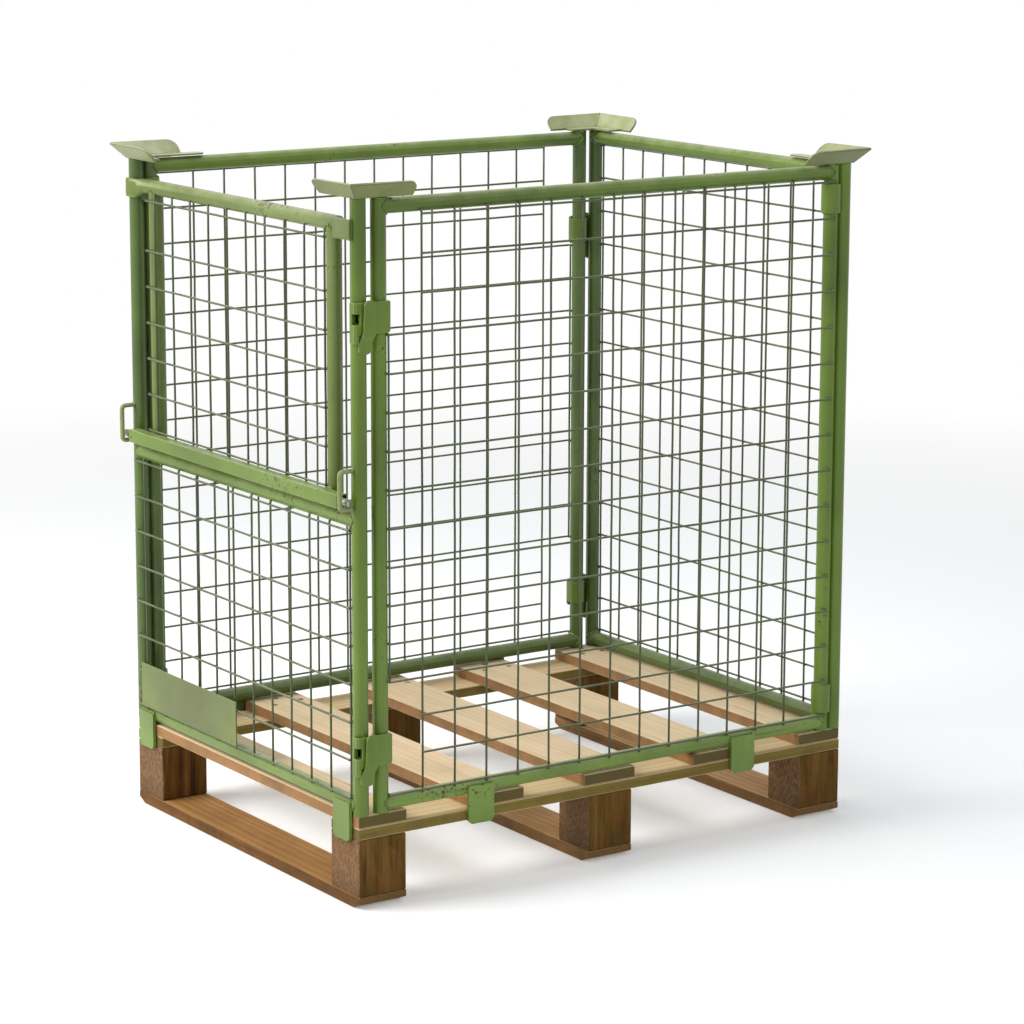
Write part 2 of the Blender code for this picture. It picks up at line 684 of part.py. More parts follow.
def build_long_panel(side, turn, material, wire_material, parent):
    left, right = -LATCH_POST_X, SLEEVE_POST_X
    latch_end = turn @ Vector((left, -LONG_Y, 0))
    sleeve_end = turn @ Vector((right, -LONG_Y, 0))
    post(side + "_latch_post", latch_end.x, latch_end.y, material, parent)
    post(side + "_sleeve_post", sleeve_end.x, sleeve_end.y, material, parent)
    rail(side + "_top_rail", latch_end + Z * TOP_RAIL_Z, sleeve_end + Z * TOP_RAIL_Z, material, parent)
    out = turn.to_3x3() @ -Y
    middle = (latch_end + sleeve_end) / 2 + Z * BOTTOM_RAIL_Z
    tabs = [lug(middle + X * place, X, out) for place in (-LONG_LUG_OFFSET, LONG_LUG_OFFSET)]
    low_start, low_end = latch_end + Z * BOTTOM_RAIL_Z, sleeve_end + Z * BOTTOM_RAIL_Z
    rail(side + "_bottom_rail", low_start, low_end, material, parent, tabs)
    long_panel_mesh(side + "_mesh", turn, wire_material, parent)
    for place, strap_base, sleeve_base in (
        ("upper", UPPER_STRAP_BASE, UPPER_SLEEVE_BASE),
        ("lower", LOWER_STRAP_BASE, LOWER_SLEEVE_BASE),
    ):
        latch_strap("%s_latch_strap_%s" % (side, place), strap_base, turn, material, parent)
        sleeve("%s_sleeve_%s" % (side, place), sleeve_base, turn, material, parent)
    corner_x, corner_y = END_X + TUBE_RADIUS, out.y * (LONG_Y + TUBE_RADIUS)
    stacking_corner(side + "_stacking_corner_left", -corner_x, corner_y, material, parent)
    stacking_corner(side + "_stacking_corner_right", corner_x, corner_y, material, parent)


# End panels. The tongues stand at one post and the eyes at the other.

def tongue_rows():
    """Cross-sections of the tongue up its height: height, distance out, left and right edge."""
    foot = TUBE_RADIUS + GAP
    held = TUBE_CORNER + 2 * STRAP_CLEARANCE + STRAP_THICKNESS
    left = TONGUE_SHIFT - TONGUE_WIDTH / 2
    right = TONGUE_SHIFT + TONGUE_WIDTH / 2
    foot_left = TONGUE_FOOT_SHIFT - TONGUE_WIDTH / 2
    foot_right = TONGUE_FOOT_SHIFT + TONGUE_WIDTH / 2
    nip = TONGUE_WIDTH / 8
    lean = TONGUE_LEAN
    return [
        (0.0, foot, foot_left + nip, foot_right - nip),
        (nip, foot, foot_left, foot_right),
        (TONGUE_NECK, foot, left, right),
        (TONGUE_FOOT, foot, left, right),
        (TONGUE_FOOT + TONGUE_JOGGLE, held, left + lean / 3, right + lean / 3),
        (TONGUE_LENGTH - 3 * nip, held + STRAP_CLEARANCE, left + lean, right + lean),
        (TONGUE_LENGTH - nip, held + STRAP_CLEARANCE, left + lean + nip, right + lean - nip),
        (TONGUE_LENGTH, held + STRAP_CLEARANCE, left + lean + 3 * nip, right + lean - 3 * nip),
    ]


def tongue(name, strap_base, turn, material, parent):
    """Upward tongue on the end panel's post; the long panel's strap drops in behind it."""
    base = Vector((-END_X, -LONG_Y, strap_base - TONGUE_FOOT - TONGUE_JOGGLE - GAP))
    shape = bmesh.new()
    rings = []
    for height, out, left, right in tongue_rows():
        section = [(left, out), (right, out), (right, out + TONGUE_THICKNESS), (left, out + TONGUE_THICKNESS)]
        rings.append([shape.verts.new(base + Vector((x, -depth, height))) for x, depth in section])
    for first, second in zip(rings, rings[1:]):
        bridge_rings(shape, first, second)
    shape.faces.new(rings[0])
    shape.faces.new(list(reversed(rings[-1])))
    bmesh.ops.transform(shape, matrix=turn, verts=shape.verts)
    return finish(name, shape, material, parent, smooth=False)


def build_end_frame(side, out, turn, upper_rail, material, parent):
    """Posts, rails and latch tongues of an end panel; turn takes the front left corner to its own."""
    x = out * END_X
    eye_turn = turn @ Matrix.Rotation(math.pi, 4, "Z")
    eyes = [eye(base, eye_turn) for base in (UPPER_SLEEVE_BASE, LOWER_SLEEVE_BASE)]
    holes = [post_hole(base, turn) for base in (UPPER_STRAP_BASE, LOWER_STRAP_BASE)]
    front, back = ((eyes, ()), ((), holes)) if out > 0 else (((), holes), (eyes, ()))
    post(side + "_front_post", x, -LONG_Y, material, parent, *front)
    post(side + "_back_post", x, LONG_Y, material, parent, *back)
    upper_name, upper_z = upper_rail
    rail("%s_%s_rail" % (side, upper_name), (x, -LONG_Y, upper_z), (x, LONG_Y, upper_z), material, parent)
    reach = LONG_Y - END_LUG_INSET
    tabs = [lug(Vector((x, y, BOTTOM_RAIL_Z)), Y, X * out) for y in (-reach, reach)]
    low_start, low_end = (x, -LONG_Y, BOTTOM_RAIL_Z), (x, LONG_Y, BOTTOM_RAIL_Z)
    rail(side + "_bottom_rail", low_start, low_end, material, parent, tabs)
    for place, base in (("upper", UPPER_STRAP_BASE), ("lower", LOWER_STRAP_BASE)):
        tongue("%s_tongue_%s" % (side, place), base, turn, material, parent)


def end_mesh(name, out, places, heights, low, high, reach, material, parent):
    """Mesh of an end, from the upright beside its latch-side tube to a lap over its other tube."""
    columns = [(place, low, high) for place in places]
    rows = [(z, places[0] - 2 * WIRE_RADIUS, reach) for z in heights]

    def spot(place, height, distance):
        return Vector((out * (END_X + distance), -out * place, height))

    return wire_mesh(name, columns, rows, spot, material, parent)


def build_right_panel(material, wire_material, parent):
    half_turn = Matrix.Rotation(math.pi, 4, "Z")
    build_end_frame("right", 1, half_turn, ("top", TOP_RAIL_Z), material, parent)
    places = even_lines(-LONG_Y + EDGE_WIRE_OFFSET, LONG_Y - 2 * TUBE_RADIUS, PITCH_ACROSS)
    low, high = BOTTOM_RAIL_Z + UPRIGHT_END, TOP_RAIL_Z - UPRIGHT_END
    reach = LONG_Y - END_ROW_SETBACK
    end_mesh("right_mesh", 1, places, full_rows(), low, high, reach, wire_material, parent)


def build_left_panel(material, wire_material, parent):
    build_end_frame("left", -1, Matrix.Identity(4), ("middle", MID_RAIL_Z), material, parent)
    places = even_lines(-LONG_Y + EDGE_WIRE_OFFSET, LONG_Y - 2 * TUBE_RADIUS, PITCH_ACROSS)
    edge_row = MID_RAIL_Z - TUBE_RADIUS - GAP - WIRE_RADIUS
    heights = even_lines(POST_FOOT + LOWER_FIRST_ROW, edge_row - PITCH_UP / 2, PITCH_UP) + [edge_row]
    low, high = BOTTOM_RAIL_Z + UPRIGHT_END, MID_RAIL_Z - UPRIGHT_END
    reach = LONG_Y - END_ROW_SETBACK
    end_mesh("left_mesh", -1, places, heights, low, high, reach, wire_material, parent)
    gate_loop("left_gate_loop_front", -LONG_Y, material, parent)
    gate_loop("left_gate_loop_back", LONG_Y, material, parent)
    blank_plate("left_blank_plate", material, parent)


def gate_loop(name, y, material, parent):
    """Bent rod on the outer face of a post that carries the gate's pin."""
    seat = -(END_X + TUBE_RADIUS + GAP)
    reach = -(END_X + TUBE_RADIUS + LOOP_DEPTH + LOOP_ROD_RADIUS)
    clear = PIN_RADIUS / math.cos(math.pi / TUBE_SIDES) + GAP + LOOP_ROD_RADIUS / math.cos(math.pi / WIRE_SIDES)
    low = GATE_AXIS_Z - clear
    high = GATE_AXIS_Z + LOOP_TRAVEL + clear
    corners = [(seat, y, high), (reach, y, high), (reach, y, low), (seat, y, low)]
    shape = bmesh.new()
    add_rod(shape, rounded_path(corners, LOOP_BEND), LOOP_ROD_RADIUS, WIRE_SIDES)
    return finish(name, shape, material, parent)


def blank_plate(name, material, parent):
    """Blank plate tacked to the outside of the lower mesh, by the back post."""
    face = -(END_X + ROW_OUT + WIRE_RADIUS + GAP)
    end = LONG_Y - TUBE_RADIUS - SIGN_POST_CLEARANCE
    low = BOTTOM_RAIL_Z + SIGN_RISE
    shape = bmesh.new()
    add_box(shape, (face - SIGN_THICKNESS, end - SIGN_LENGTH, low), (face, end, low + SIGN_HEIGHT))
    return finish(name, shape, material, parent, smooth=False)


# Gate

def flat_section(centre_x, thickness, height):
    """Points of a flattened tube end, level with the tube's top, in step with a round section."""
    points = []
    for across, up in circle_points(1.0, TUBE_SIDES):
        limit = max(abs(across), abs(up))
        dx = across / limit * thickness / 2
        dz = up / limit * height / 2
        points.append((centre_x + dx, TUBE_RADIUS - FLAT_END_HEIGHT / 2 + dz))
    return points


def gate_top_rail():
    """Tube over the stiles whose two ends are flattened and cranked out to lap the posts."""
    plain = -(END_X + TUBE_CORNER + GAP + FLAT_END_THICKNESS / 2)
    tip = LONG_Y + FLAT_END_OVERLAP
    front_crank = -STILE_Y - FRONT_CRANK_OFFSET
    back_crank = STILE_Y + BACK_CRANK_OFFSET
    shape = bmesh.new()
    skins = []
    for inset in (0.0, TUBE_WALL):
        circle = [(-END_X + p, q) for p, q in circle_points(TUBE_RADIUS - inset, TUBE_SIDES)]
        thickness = FLAT_END_SLIT if inset else FLAT_END_THICKNESS
        height = FLAT_END_HEIGHT - 2 * inset
        flat = flat_section(plain, thickness, height)
        stations = [
            (-tip, flat), (front_crank - CRANK_LENGTH, flat), (front_crank, circle),
            (back_crank, circle), (back_crank + CRANK_LENGTH, flat), (tip, flat),
        ]
        rings = []
        for y, section in stations:
            rings.append([shape.verts.new((px, y, GATE_RAIL_Z + pz)) for px, pz in section])
        for first, second in zip(rings, rings[1:]):
            bridge_rings(shape, first, second)
        skins.append(rings)
    outer, inner = skins
    bridge_rings(shape, outer[0], inner[0])
    bridge_rings(shape, inner[-1], outer[-1])
    return shape


def gate_frame(name, material, parent):
    """Top rail with a stile welded under it near each end."""
    stiles = []
    for y in (-STILE_Y, STILE_Y):
        stile = bmesh.new()
        foot = (-END_X, y, GATE_AXIS_Z - GATE_SILL_HEIGHT / 2)
        add_tube(stile, foot, (-END_X, y, GATE_RAIL_Z), None, Y, TUBE_RADIUS - TUBE_WALL / 2)
        stiles.append(stile)
    return finish(name, combine(gate_top_rail(), stiles, "UNION"), material, parent)


def gate_sill(name, material, parent):
    """Box-section bottom rail outside the stiles; the hinge rod runs through it."""
    half = LONG_Y - TUBE_RADIUS - GATE_SILL_END_CLEARANCE
    shape = bmesh.new()
    skins = []
    for inset in (0.0, GATE_SILL_WALL):
        dx, dz = GATE_SILL_DEPTH / 2 - inset, GATE_SILL_HEIGHT / 2 - inset
        section = [(-dx, -dz), (dx, -dz), (dx, dz), (-dx, dz)]
        pair = []
        for y in (-half, half):
            pair.append([shape.verts.new((GATE_AXIS_X + px, y, GATE_AXIS_Z + pz)) for px, pz in section])
        bridge_rings(shape, *pair)
        skins.append(pair)
    outer, inner = skins
    bridge_rings(shape, outer[0], inner[0])
    bridge_rings(shape, inner[1], outer[1])
    return finish(name, shape, material, parent, smooth=False)


def gate_hinge_rod(name, material, parent):
    """Round rod through the bottom rail, its ends standing in the loops on the posts."""
    tip = LONG_Y + LOOP_ROD_RADIUS + PIN_PROUD
    shape = bmesh.new()
    add_rod(shape, [(GATE_AXIS_X, -tip, GATE_AXIS_Z), (GATE_AXIS_X, tip, GATE_AXIS_Z)], PIN_RADIUS, TUBE_SIDES)
    return finish(name, shape, material, parent)


def build_gate(material, wire_material, parent):
    gate_frame("gate_frame", material, parent)
    gate_sill("gate_bottom_rail", material, parent)
    places = even_lines(-STILE_Y + EDGE_WIRE_OFFSET, STILE_Y - TUBE_RADIUS, PITCH_ACROSS)
    top_row = GATE_RAIL_Z - GATE_TOP_ROW_DROP
    lowest = GATE_AXIS_Z + GATE_SILL_HEIGHT / 2 + GAP + WIRE_RADIUS
    heights = [top_row] + [-z for z in even_lines(GATE_ROW_STEP - top_row, -lowest, PITCH_UP)]
    low, high = GATE_AXIS_Z - GATE_SILL_HEIGHT / 4, GATE_RAIL_Z - UPRIGHT_END
    reach = STILE_Y + TUBE_RADIUS
    end_mesh("gate_mesh", -1, places, heights, low, high, reach, wire_material, parent)


def main():
    clear_scene()
    paint = make_material("green_paint", (0.17, 0.27, 0.10), 0.45, 0.0)
    wire_paint = make_material("green_wire_paint", (0.13, 0.20, 0.09), 0.50, 0.0)
    steel = make_material("rod_steel", (0.35, 0.37, 0.33), 0.45, 1.0)

    pallet = make_parent("pallet")
    build_pallet(pallet)

    left_end = make_parent("left_end", (-END_X, 0, POST_FOOT), pallet)
    build_left_panel(paint, wire_paint, left_end)
    right_end = make_parent("right_end", (END_X, 0, POST_FOOT), pallet)
    build_right_panel(paint, wire_paint, right_end)

    front = make_parent("front_panel", (0, -LONG_Y, POST_FOOT), left_end)
    build_long_panel("front", Matrix.Identity(4), paint, wire_paint, front)
    back = make_parent("back_panel", (0, LONG_Y, POST_FOOT), left_end)
    build_long_panel("back", Matrix.Rotation(math.pi, 4, "Z"), paint, wire_paint, back)

    carriage = make_parent("gate_carriage", (GATE_AXIS_X, 0, GATE_AXIS_Z), left_end)
    gate_hinge_rod("gate_hinge_rod", steel, carriage)
    gate = make_parent("gate", (GATE_AXIS_X, 0, GATE_AXIS_Z), carriage)
    build_gate(paint, wire_paint, gate)


main()
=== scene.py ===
"""Looks of the green wire-mesh collar on its timber pallet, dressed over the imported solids."""

import json
import math
import random

import bmesh
import bpy
from mathutils import Matrix, Vector


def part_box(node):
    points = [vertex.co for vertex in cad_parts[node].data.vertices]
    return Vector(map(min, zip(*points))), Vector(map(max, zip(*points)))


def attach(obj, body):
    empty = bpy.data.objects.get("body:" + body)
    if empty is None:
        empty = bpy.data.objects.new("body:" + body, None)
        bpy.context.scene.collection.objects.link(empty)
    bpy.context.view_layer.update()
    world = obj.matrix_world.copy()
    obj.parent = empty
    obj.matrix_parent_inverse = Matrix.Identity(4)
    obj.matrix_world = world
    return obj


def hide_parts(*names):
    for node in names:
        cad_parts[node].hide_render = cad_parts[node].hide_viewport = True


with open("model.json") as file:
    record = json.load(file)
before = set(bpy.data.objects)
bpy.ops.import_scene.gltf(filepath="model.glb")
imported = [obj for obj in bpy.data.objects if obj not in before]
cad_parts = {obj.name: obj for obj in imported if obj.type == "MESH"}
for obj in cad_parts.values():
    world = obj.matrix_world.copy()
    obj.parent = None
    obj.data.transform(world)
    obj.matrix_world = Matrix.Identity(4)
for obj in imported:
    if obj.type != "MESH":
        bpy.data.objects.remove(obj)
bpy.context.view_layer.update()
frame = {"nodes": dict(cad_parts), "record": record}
nodes = frame["nodes"]
groups = frame["record"]["behaviour"]["bodies"]
body_of = {node: body for body, members in groups.items() for node in members}
chance = random.Random(11)

# Sizes in metres. The tubes, the rails and the rows of wire lie as in the solids.
TUBE = 0.010
TUBE_CORNER = TUBE / math.cos(math.pi / 16)
GAP = 0.0003
WIRE = 0.0015
ROW_SEAT = 0.00175
PITCH_ACROSS = 0.050
PITCH_UP = 0.0502
ROW_OUT = 0.0117
UPRIGHT_OUT = 0.0085
EDGE_WIRE_OFFSET = 0.00935
FAR_MARGIN = 0.060
BOTTOM_RAIL = 0.1372
LEFT_FIRST_ROW = 0.0235
GATE_STILE_INSET = 0.057
GATE_TOP_ROW = 0.018
GATE_SECOND_ROW = 0.069
GATE_SILL_TOP = 0.009
STRAP_CORNER = 0.005
STRAP_TAIL_SHEET = 0.002
TONGUE_SHEET = 0.003
TONGUE_CAP = 0.0088
TONGUE_CAP_CENTRE = 0.0598

# Welds: how far their middles lie from an edge or face, the radii of beads, half sizes of lumps.
# Each bead at a tongue's foot is given by x and height of its two ends, and its radius.
WELD_SHIFT = 0.0004
RAIL_BEAD = 0.0017
LUG_BEAD = 0.0019
STRAP_BEAD = 0.0016
STILE_BEAD = 0.0016
SILL_BEAD = 0.0014
CAP_BEAD = 0.0013
SLEEVE_BEAD = 0.0012
TONGUE_BEADS = ((-0.0035, 0.0, 0.0080, 0.0, 0.0015), (-0.0068, 0.005, -0.0058, 0.014, 0.0011))
CROSSING_LUMP = (0.0020, 0.0020, 0.0019)
SEAT_LUMP = (0.0027, 0.0024, 0.0018)
LOOP_LUMP = (0.0020, 0.0050, 0.0048)
PLATE_LUMP = (0.0007, 0.0042, 0.0026)
LUG_WELD = 0.037
LONG_LUGS = (-0.218, 0.218)
END_LUG_INSET = 0.027
BEAD_RIPPLE = 0.14
BEAD_STEP = 0.0022
WIRE_WANDER = 0.00022
WIRE_STEP = 0.045

X = Vector((1, 0, 0))
Y = Vector((0, 1, 0))
Z = Vector((0, 0, 1))


def box(node):
    low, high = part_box(node)
    return Vector(low), Vector(high)


def centre(node):
    low, high = box(node)
    return (low + high) / 2


POST_X = abs(centre("left_front_post").x)
POST_Y = abs(centre("left_front_post").y)


# Materials

class Graph:
    """A node tree that is written as nested calls."""

    def __init__(self, owner, output="ShaderNodeOutputMaterial"):
        owner.use_nodes = True
        self.tree = owner.node_tree
        self.tree.nodes.clear()
        self.output = self.tree.nodes.new(output)

    def add(self, kind, values=None, **settings):
        node = self.tree.nodes.new(kind)
        for key, value in settings.items():
            setattr(node, key, value)
        for key, value in (values or {}).items():
            self.plug(node.inputs[key], value)
        return node

    def plug(self, socket, value):
        if isinstance(value, bpy.types.NodeSocket):
            self.tree.links.new(value, socket)
        else:
            socket.default_value = value

    def math(self, operation, first, second=0.0, clamp=False):
        node = self.add("ShaderNodeMath", {0: first, 1: second}, operation=operation, use_clamp=clamp)
        return node.outputs[0]

    def noise(self, vector, scale, detail=3.0, roughness=0.55, distortion=0.0):
        values = {"Vector": vector, "Scale": scale, "Detail": detail, "Roughness": roughness,
                  "Distortion": distortion}
        return self.add("ShaderNodeTexNoise", values).outputs["Fac"]

    def stretch(self, vector, scale, offset=(0.0, 0.0, 0.0)):
        values = {"Vector": vector, "Scale": scale, "Location": offset}
        return self.add("ShaderNodeMapping", values).outputs[0]

    def split(self, vector):
        return self.add("ShaderNodeSeparateXYZ", {0: vector}).outputs

    def offset(self, operation, first, second):
        return self.add("ShaderNodeVectorMath", {0: first, 1: second}, operation=operation).outputs[0]

    def ramp(self, factor, stops):
        node = self.add("ShaderNodeValToRGB", {"Fac": factor})
        elements = node.color_ramp.elements
        while len(elements) < len(stops):
            elements.new(0.5)
        for element, (place, colour) in zip(elements, stops):
            element.position = place
            element.color = (*colour, 1.0)
        return node.outputs["Color"]

    def step(self, factor, low, high):
        values = {"Value": factor, "From Min": low, "From Max": high}
        return self.add("ShaderNodeMapRange", values, clamp=True).outputs["Result"]

    def mix(self, factor, first, second, blend="MIX"):
        node = self.add("ShaderNodeMix", data_type="RGBA", blend_type=blend, clamp_factor=True)
        self.plug(node.inputs["Factor"], factor)
        self.plug(node.inputs[6], first)
        self.plug(node.inputs[7], second)
        return node.outputs[2]

    def cover(self, tone, mask, share, colour):
        """Lays a colour over the tone where the mask is, by a share of it."""
        return self.mix(self.math("MULTIPLY", mask, share), tone, colour)

    def bump(self, height, strength, distance, normal=None):
        values = {"Height": height, "Strength": strength, "Distance": distance}
        if normal is not None:
            values["Normal"] = normal
        return self.add("ShaderNodeBump", values).outputs["Normal"]

    def seen(self):
        """1 for the rays that show the stage itself, 0 for those that only light the object."""
        ray = self.add("ShaderNodeLightPath").outputs
        direct = self.math("MAXIMUM", ray["Is Camera Ray"], ray["Is Glossy Ray"])
        return self.math("MAXIMUM", direct, ray["Is Transmission Ray"])

    def finish(self, shader):
        self.tree.links.new(shader.outputs[0], self.output.inputs["Surface"])

    def surface(self, colour, roughness, normal, metallic=0.0, **fixed):
        values = {"Base Color": colour, "Roughness": roughness, "Normal": normal, "Metallic": metallic}
        shader = self.add("ShaderNodeBsdfPrincipled", values)
        for name, value in fixed.items():
            shader.inputs[name.replace("_", " ")].default_value = value
        self.finish(shader)


def rgb(red, green, blue):
    return (red, green, blue, 1.0)


def shade(colour, factor, lift=0.0):
    return tuple(min(1.0, c * factor + lift) for c in colour) + (1.0,)


def tint(colour, factor, lift=0.0):
    return shade(colour, factor, lift)[:3]


def paint_material(name, base, worn=0.0, seed=0.0, dusty=0.45):
    """Sprayed semi-gloss paint: uneven tone, fine orange peel, grime, scuffs and bare chips."""
    material = bpy.data.materials.new(name)
    g = Graph(material)
    coordinates = g.add("ShaderNodeTexCoord")
    spot = g.stretch(coordinates.outputs["Object"], (1, 1, 1), (seed, seed * 0.7, seed * 0.3))
    broad = g.noise(spot, 5.0, 3.0)
    patch = g.noise(spot, 34.0, 4.0, 0.6)
    peel = g.noise(spot, 900.0, 2.0)
    runs = g.noise(g.stretch(spot, (90, 90, 6)), 1.0, 3.0)
    tone = g.mix(g.step(broad, 0.34, 0.66), shade(base, 0.70), shade(base, 1.32, 0.006))
    tone = g.cover(tone, g.step(patch, 0.35, 0.75), 0.35, rgb(*base))
    tone = g.cover(tone, g.step(runs, 0.52, 0.78), 0.22, shade(base, 0.5))
    upward = g.step(g.split(coordinates.outputs["Normal"])["Z"], 0.15, 0.95)
    dust = g.math("MULTIPLY", upward, g.math("MULTIPLY", g.step(patch, 0.26, 0.62), dusty))
    tone = g.mix(dust, tone, rgb(0.46, 0.47, 0.30))
    scuff = g.noise(g.stretch(spot, (420, 420, 55)), 1.0, 4.0, 0.65)
    scuffed = g.math("MULTIPLY", g.step(scuff, 0.62, 0.80), 0.20 + 0.45 * worn)
    tone = g.mix(scuffed, tone, shade(base, 1.5, 0.07))
    flake = g.noise(spot, 190.0, 5.0, 0.62, 0.4)
    flaking = g.math("MULTIPLY", flake, g.math("ADD", g.step(broad, 0.35, 0.70), 0.72))
    bare = g.step(flaking, 0.96 - 0.38 * worn, 1.00 - 0.34 * worn)
    rusted = g.step(g.noise(spot, 260.0, 3.0), 0.42, 0.66)
    metal = g.mix(rusted, rgb(0.085, 0.075, 0.06), rgb(0.06, 0.028, 0.012))
    tone = g.mix(bare, tone, metal)
    rough = g.math("ADD", g.math("MULTIPLY", patch, 0.22), g.math("MULTIPLY", scuffed, 0.4))
    rough = g.math("ADD", rough, 0.22)
    rough = g.math("ADD", rough, g.math("MULTIPLY", bare, 0.2), clamp=True)
    relief = g.bump(peel, 0.10, 0.0002)
    relief = g.bump(patch, 0.14, 0.0006, relief)
    relief = g.bump(bare, 0.5, 0.0002, relief)
    relief.node.invert = True
    g.surface(tone, rough, relief, 0.0, Coat_Weight=0.10, Coat_Roughness=0.20, IOR=1.45)
    return material


def steel_material(name, seed=0.0, paint_left=1.0, rusty=0.0):
    """Bare steel with a little rust, and thin paint left on it where it was painted."""
    material = bpy.data.materials.new(name)
    g = Graph(material)
    place = g.stretch(g.add("ShaderNodeTexCoord").outputs["Object"], (1, 1, 1), (seed, seed, seed))
    patch = g.noise(place, 60.0, 5.0, 0.65)
    scratch = g.noise(g.stretch(place, (500, 30, 500)), 1.0, 3.0)
    painted = g.math("MULTIPLY", g.step(patch, 0.38, 0.50), paint_left)
    metal = g.mix(g.step(scratch, 0.4, 0.7), rgb(0.30, 0.30, 0.27), rgb(0.50, 0.50, 0.46))
    rust = g.step(g.noise(place, 140.0, 4.0, 0.6), 0.58 - rusty, 0.70 - rusty)
    metal = g.mix(rust, metal, rgb(0.16, 0.06, 0.025))
    tone = g.mix(painted, metal, rgb(0.115, 0.16, 0.045))
    rough = g.math("ADD", g.math("MULTIPLY", scratch, 0.25), 0.28)
    metallic = g.math("MULTIPLY", g.math("SUBTRACT", 1.0, painted), g.math("SUBTRACT", 1.0, rust))
    g.surface(tone, rough, g.bump(painted, 0.3, 0.0002), metallic, IOR=1.5)
    return material


def wood_material(name, seed, along, pale, deep, side_shade_tint, end_grain_shade, knots, stain, ring_depth):
    """Sawn softwood: rings cut lengthwise, fibres, knots, saw marks; painted shade darkens the sides
    and the ends, the ends also show end-grain pores, and darker blotches mark the sides.
    """
    material = bpy.data.materials.new(name)
    g = Graph(material)
    coordinates = g.add("ShaderNodeTexCoord")
    place = coordinates.outputs["Object"]
    moved = g.stretch(place, (1, 1, 1), (seed * 0.613, seed * 0.377, seed * 0.291))

    def drawn_out(share):
        """Scale that draws a pattern out along the grain."""
        return tuple(share if axis == along else 1 for axis in "xyz")

    long_way, fibre_way = drawn_out(0.055), drawn_out(0.02)
    drawn = g.stretch(moved, long_way)
    warp = g.add("ShaderNodeTexNoise", {"Vector": drawn, "Scale": 9.0, "Detail": 2.0}).outputs["Color"]
    shift = g.offset("MULTIPLY", warp, (0.05, 0.05, 0.05))
    bent = g.offset("ADD", drawn, shift)
    values = {"Vector": g.stretch(moved, drawn_out(0.55)), "Scale": 6.2, "Randomness": 1.0}
    knot_cells = g.add("ShaderNodeTexVoronoi", values, feature="F1")
    knot_distance = knot_cells.outputs["Distance"]
    chosen = g.step(g.split(knot_cells.outputs["Color"])["X"], 0.70, 0.72)

    def within(low, high):
        """Mask of the chosen knots, fading out between two distances from their middles."""
        return g.math("MULTIPLY", g.math("SUBTRACT", 1.0, g.step(knot_distance, low, high)), chosen)

    near_knot = within(0.02, 0.30)
    pull = g.math("MULTIPLY", near_knot, 0.020 * knots)
    pulled = g.add("ShaderNodeCombineXYZ", {0: pull, 1: pull, 2: pull}).outputs[0]
    rings_at = g.offset("ADD", bent, pulled)
    values = {"Vector": rings_at, "Scale": 26.0, "Distortion": 3.2, "Detail": 2.5, "Detail Scale": 1.4}
    rings = g.add("ShaderNodeTexWave", values, wave_type="RINGS", rings_direction=along.upper(),
                  wave_profile="SAW").outputs["Fac"]
    fibre = g.noise(g.stretch(moved, fibre_way), 620.0, 4.0, 0.6)
    streak = g.noise(g.stretch(moved, long_way), 46.0, 3.0)
    cloud = g.noise(moved, 7.0, 3.0)
    tone = g.cover(rgb(*pale), g.math("POWER", rings, 2.0), ring_depth, rgb(*deep))
    tone = g.cover(tone, g.step(streak, 0.42, 0.75), 0.30, shade(deep, 0.80))
    tone = g.cover(tone, g.step(fibre, 0.50, 0.85), 0.30, shade(deep, 0.60))
    tone = g.cover(tone, g.step(cloud, 0.45, 0.80), stain, shade(deep, 0.32))
    heart = within(0.030, 0.062)
    halo = within(0.045, 0.13)
    tone = g.cover(tone, halo, 0.45 * knots, rgb(0.36, 0.20, 0.09))
    tone = g.cover(tone, heart, 0.85 * knots, rgb(0.10, 0.045, 0.018))
    facing = g.split(coordinates.outputs["Normal"])
    # Painted shade: the upright faces are darkened by the side colour, and get darker blotches
    upright = g.math("SUBTRACT", 1.0, g.step(g.math("ABSOLUTE", facing["Z"]), 0.25, 0.75))
    tone = g.mix(upright, tone, rgb(*side_shade_tint), "MULTIPLY")
    blotch = g.noise(moved, 24.0, 5.0, 0.7)
    side_blotches = g.math("MULTIPLY", g.math("MULTIPLY", upright, g.step(blotch, 0.40, 0.66)), 0.55)
    tone = g.mix(side_blotches, tone, shade(deep, 0.28))
    # End faces: painted shade, broken up by the pores of the end grain
    end_face = g.step(g.math("ABSOLUTE", facing[along.upper()]), 0.7, 0.9)
    pores = g.math("ADD", g.math("MULTIPLY", g.noise(moved, 900.0, 3.0, 0.7), 0.5), 0.62)
    tone = g.mix(g.math("MULTIPLY", end_face, pores, clamp=True), tone, rgb(*end_grain_shade))
    values = {"Vector": moved, "Scale": 95.0, "Distortion": 1.5, "Detail": 2.0}
    saw = g.add("ShaderNodeTexWave", values, bands_direction=along.upper()).outputs["Fac"]
    relief = g.bump(fibre, 0.35, 0.0006)
    relief = g.bump(rings, 0.20, 0.0006, relief)
    relief = g.bump(saw, 0.10, 0.0004, relief)
    crack = g.noise(g.stretch(moved, fibre_way), 150.0, 2.0)
    relief = g.bump(g.step(crack, 0.70, 0.76), 0.5, 0.0010, relief)
    relief.node.invert = True
    tone = g.cover(tone, g.step(crack, 0.70, 0.76), 0.6, shade(deep, 0.28))
    rough = g.math("ADD", g.math("MULTIPLY", fibre, 0.25), 0.58, clamp=True)
    g.surface(tone, rough, relief, 0.0, IOR=1.45, Specular_IOR_Level=0.25)
    return material


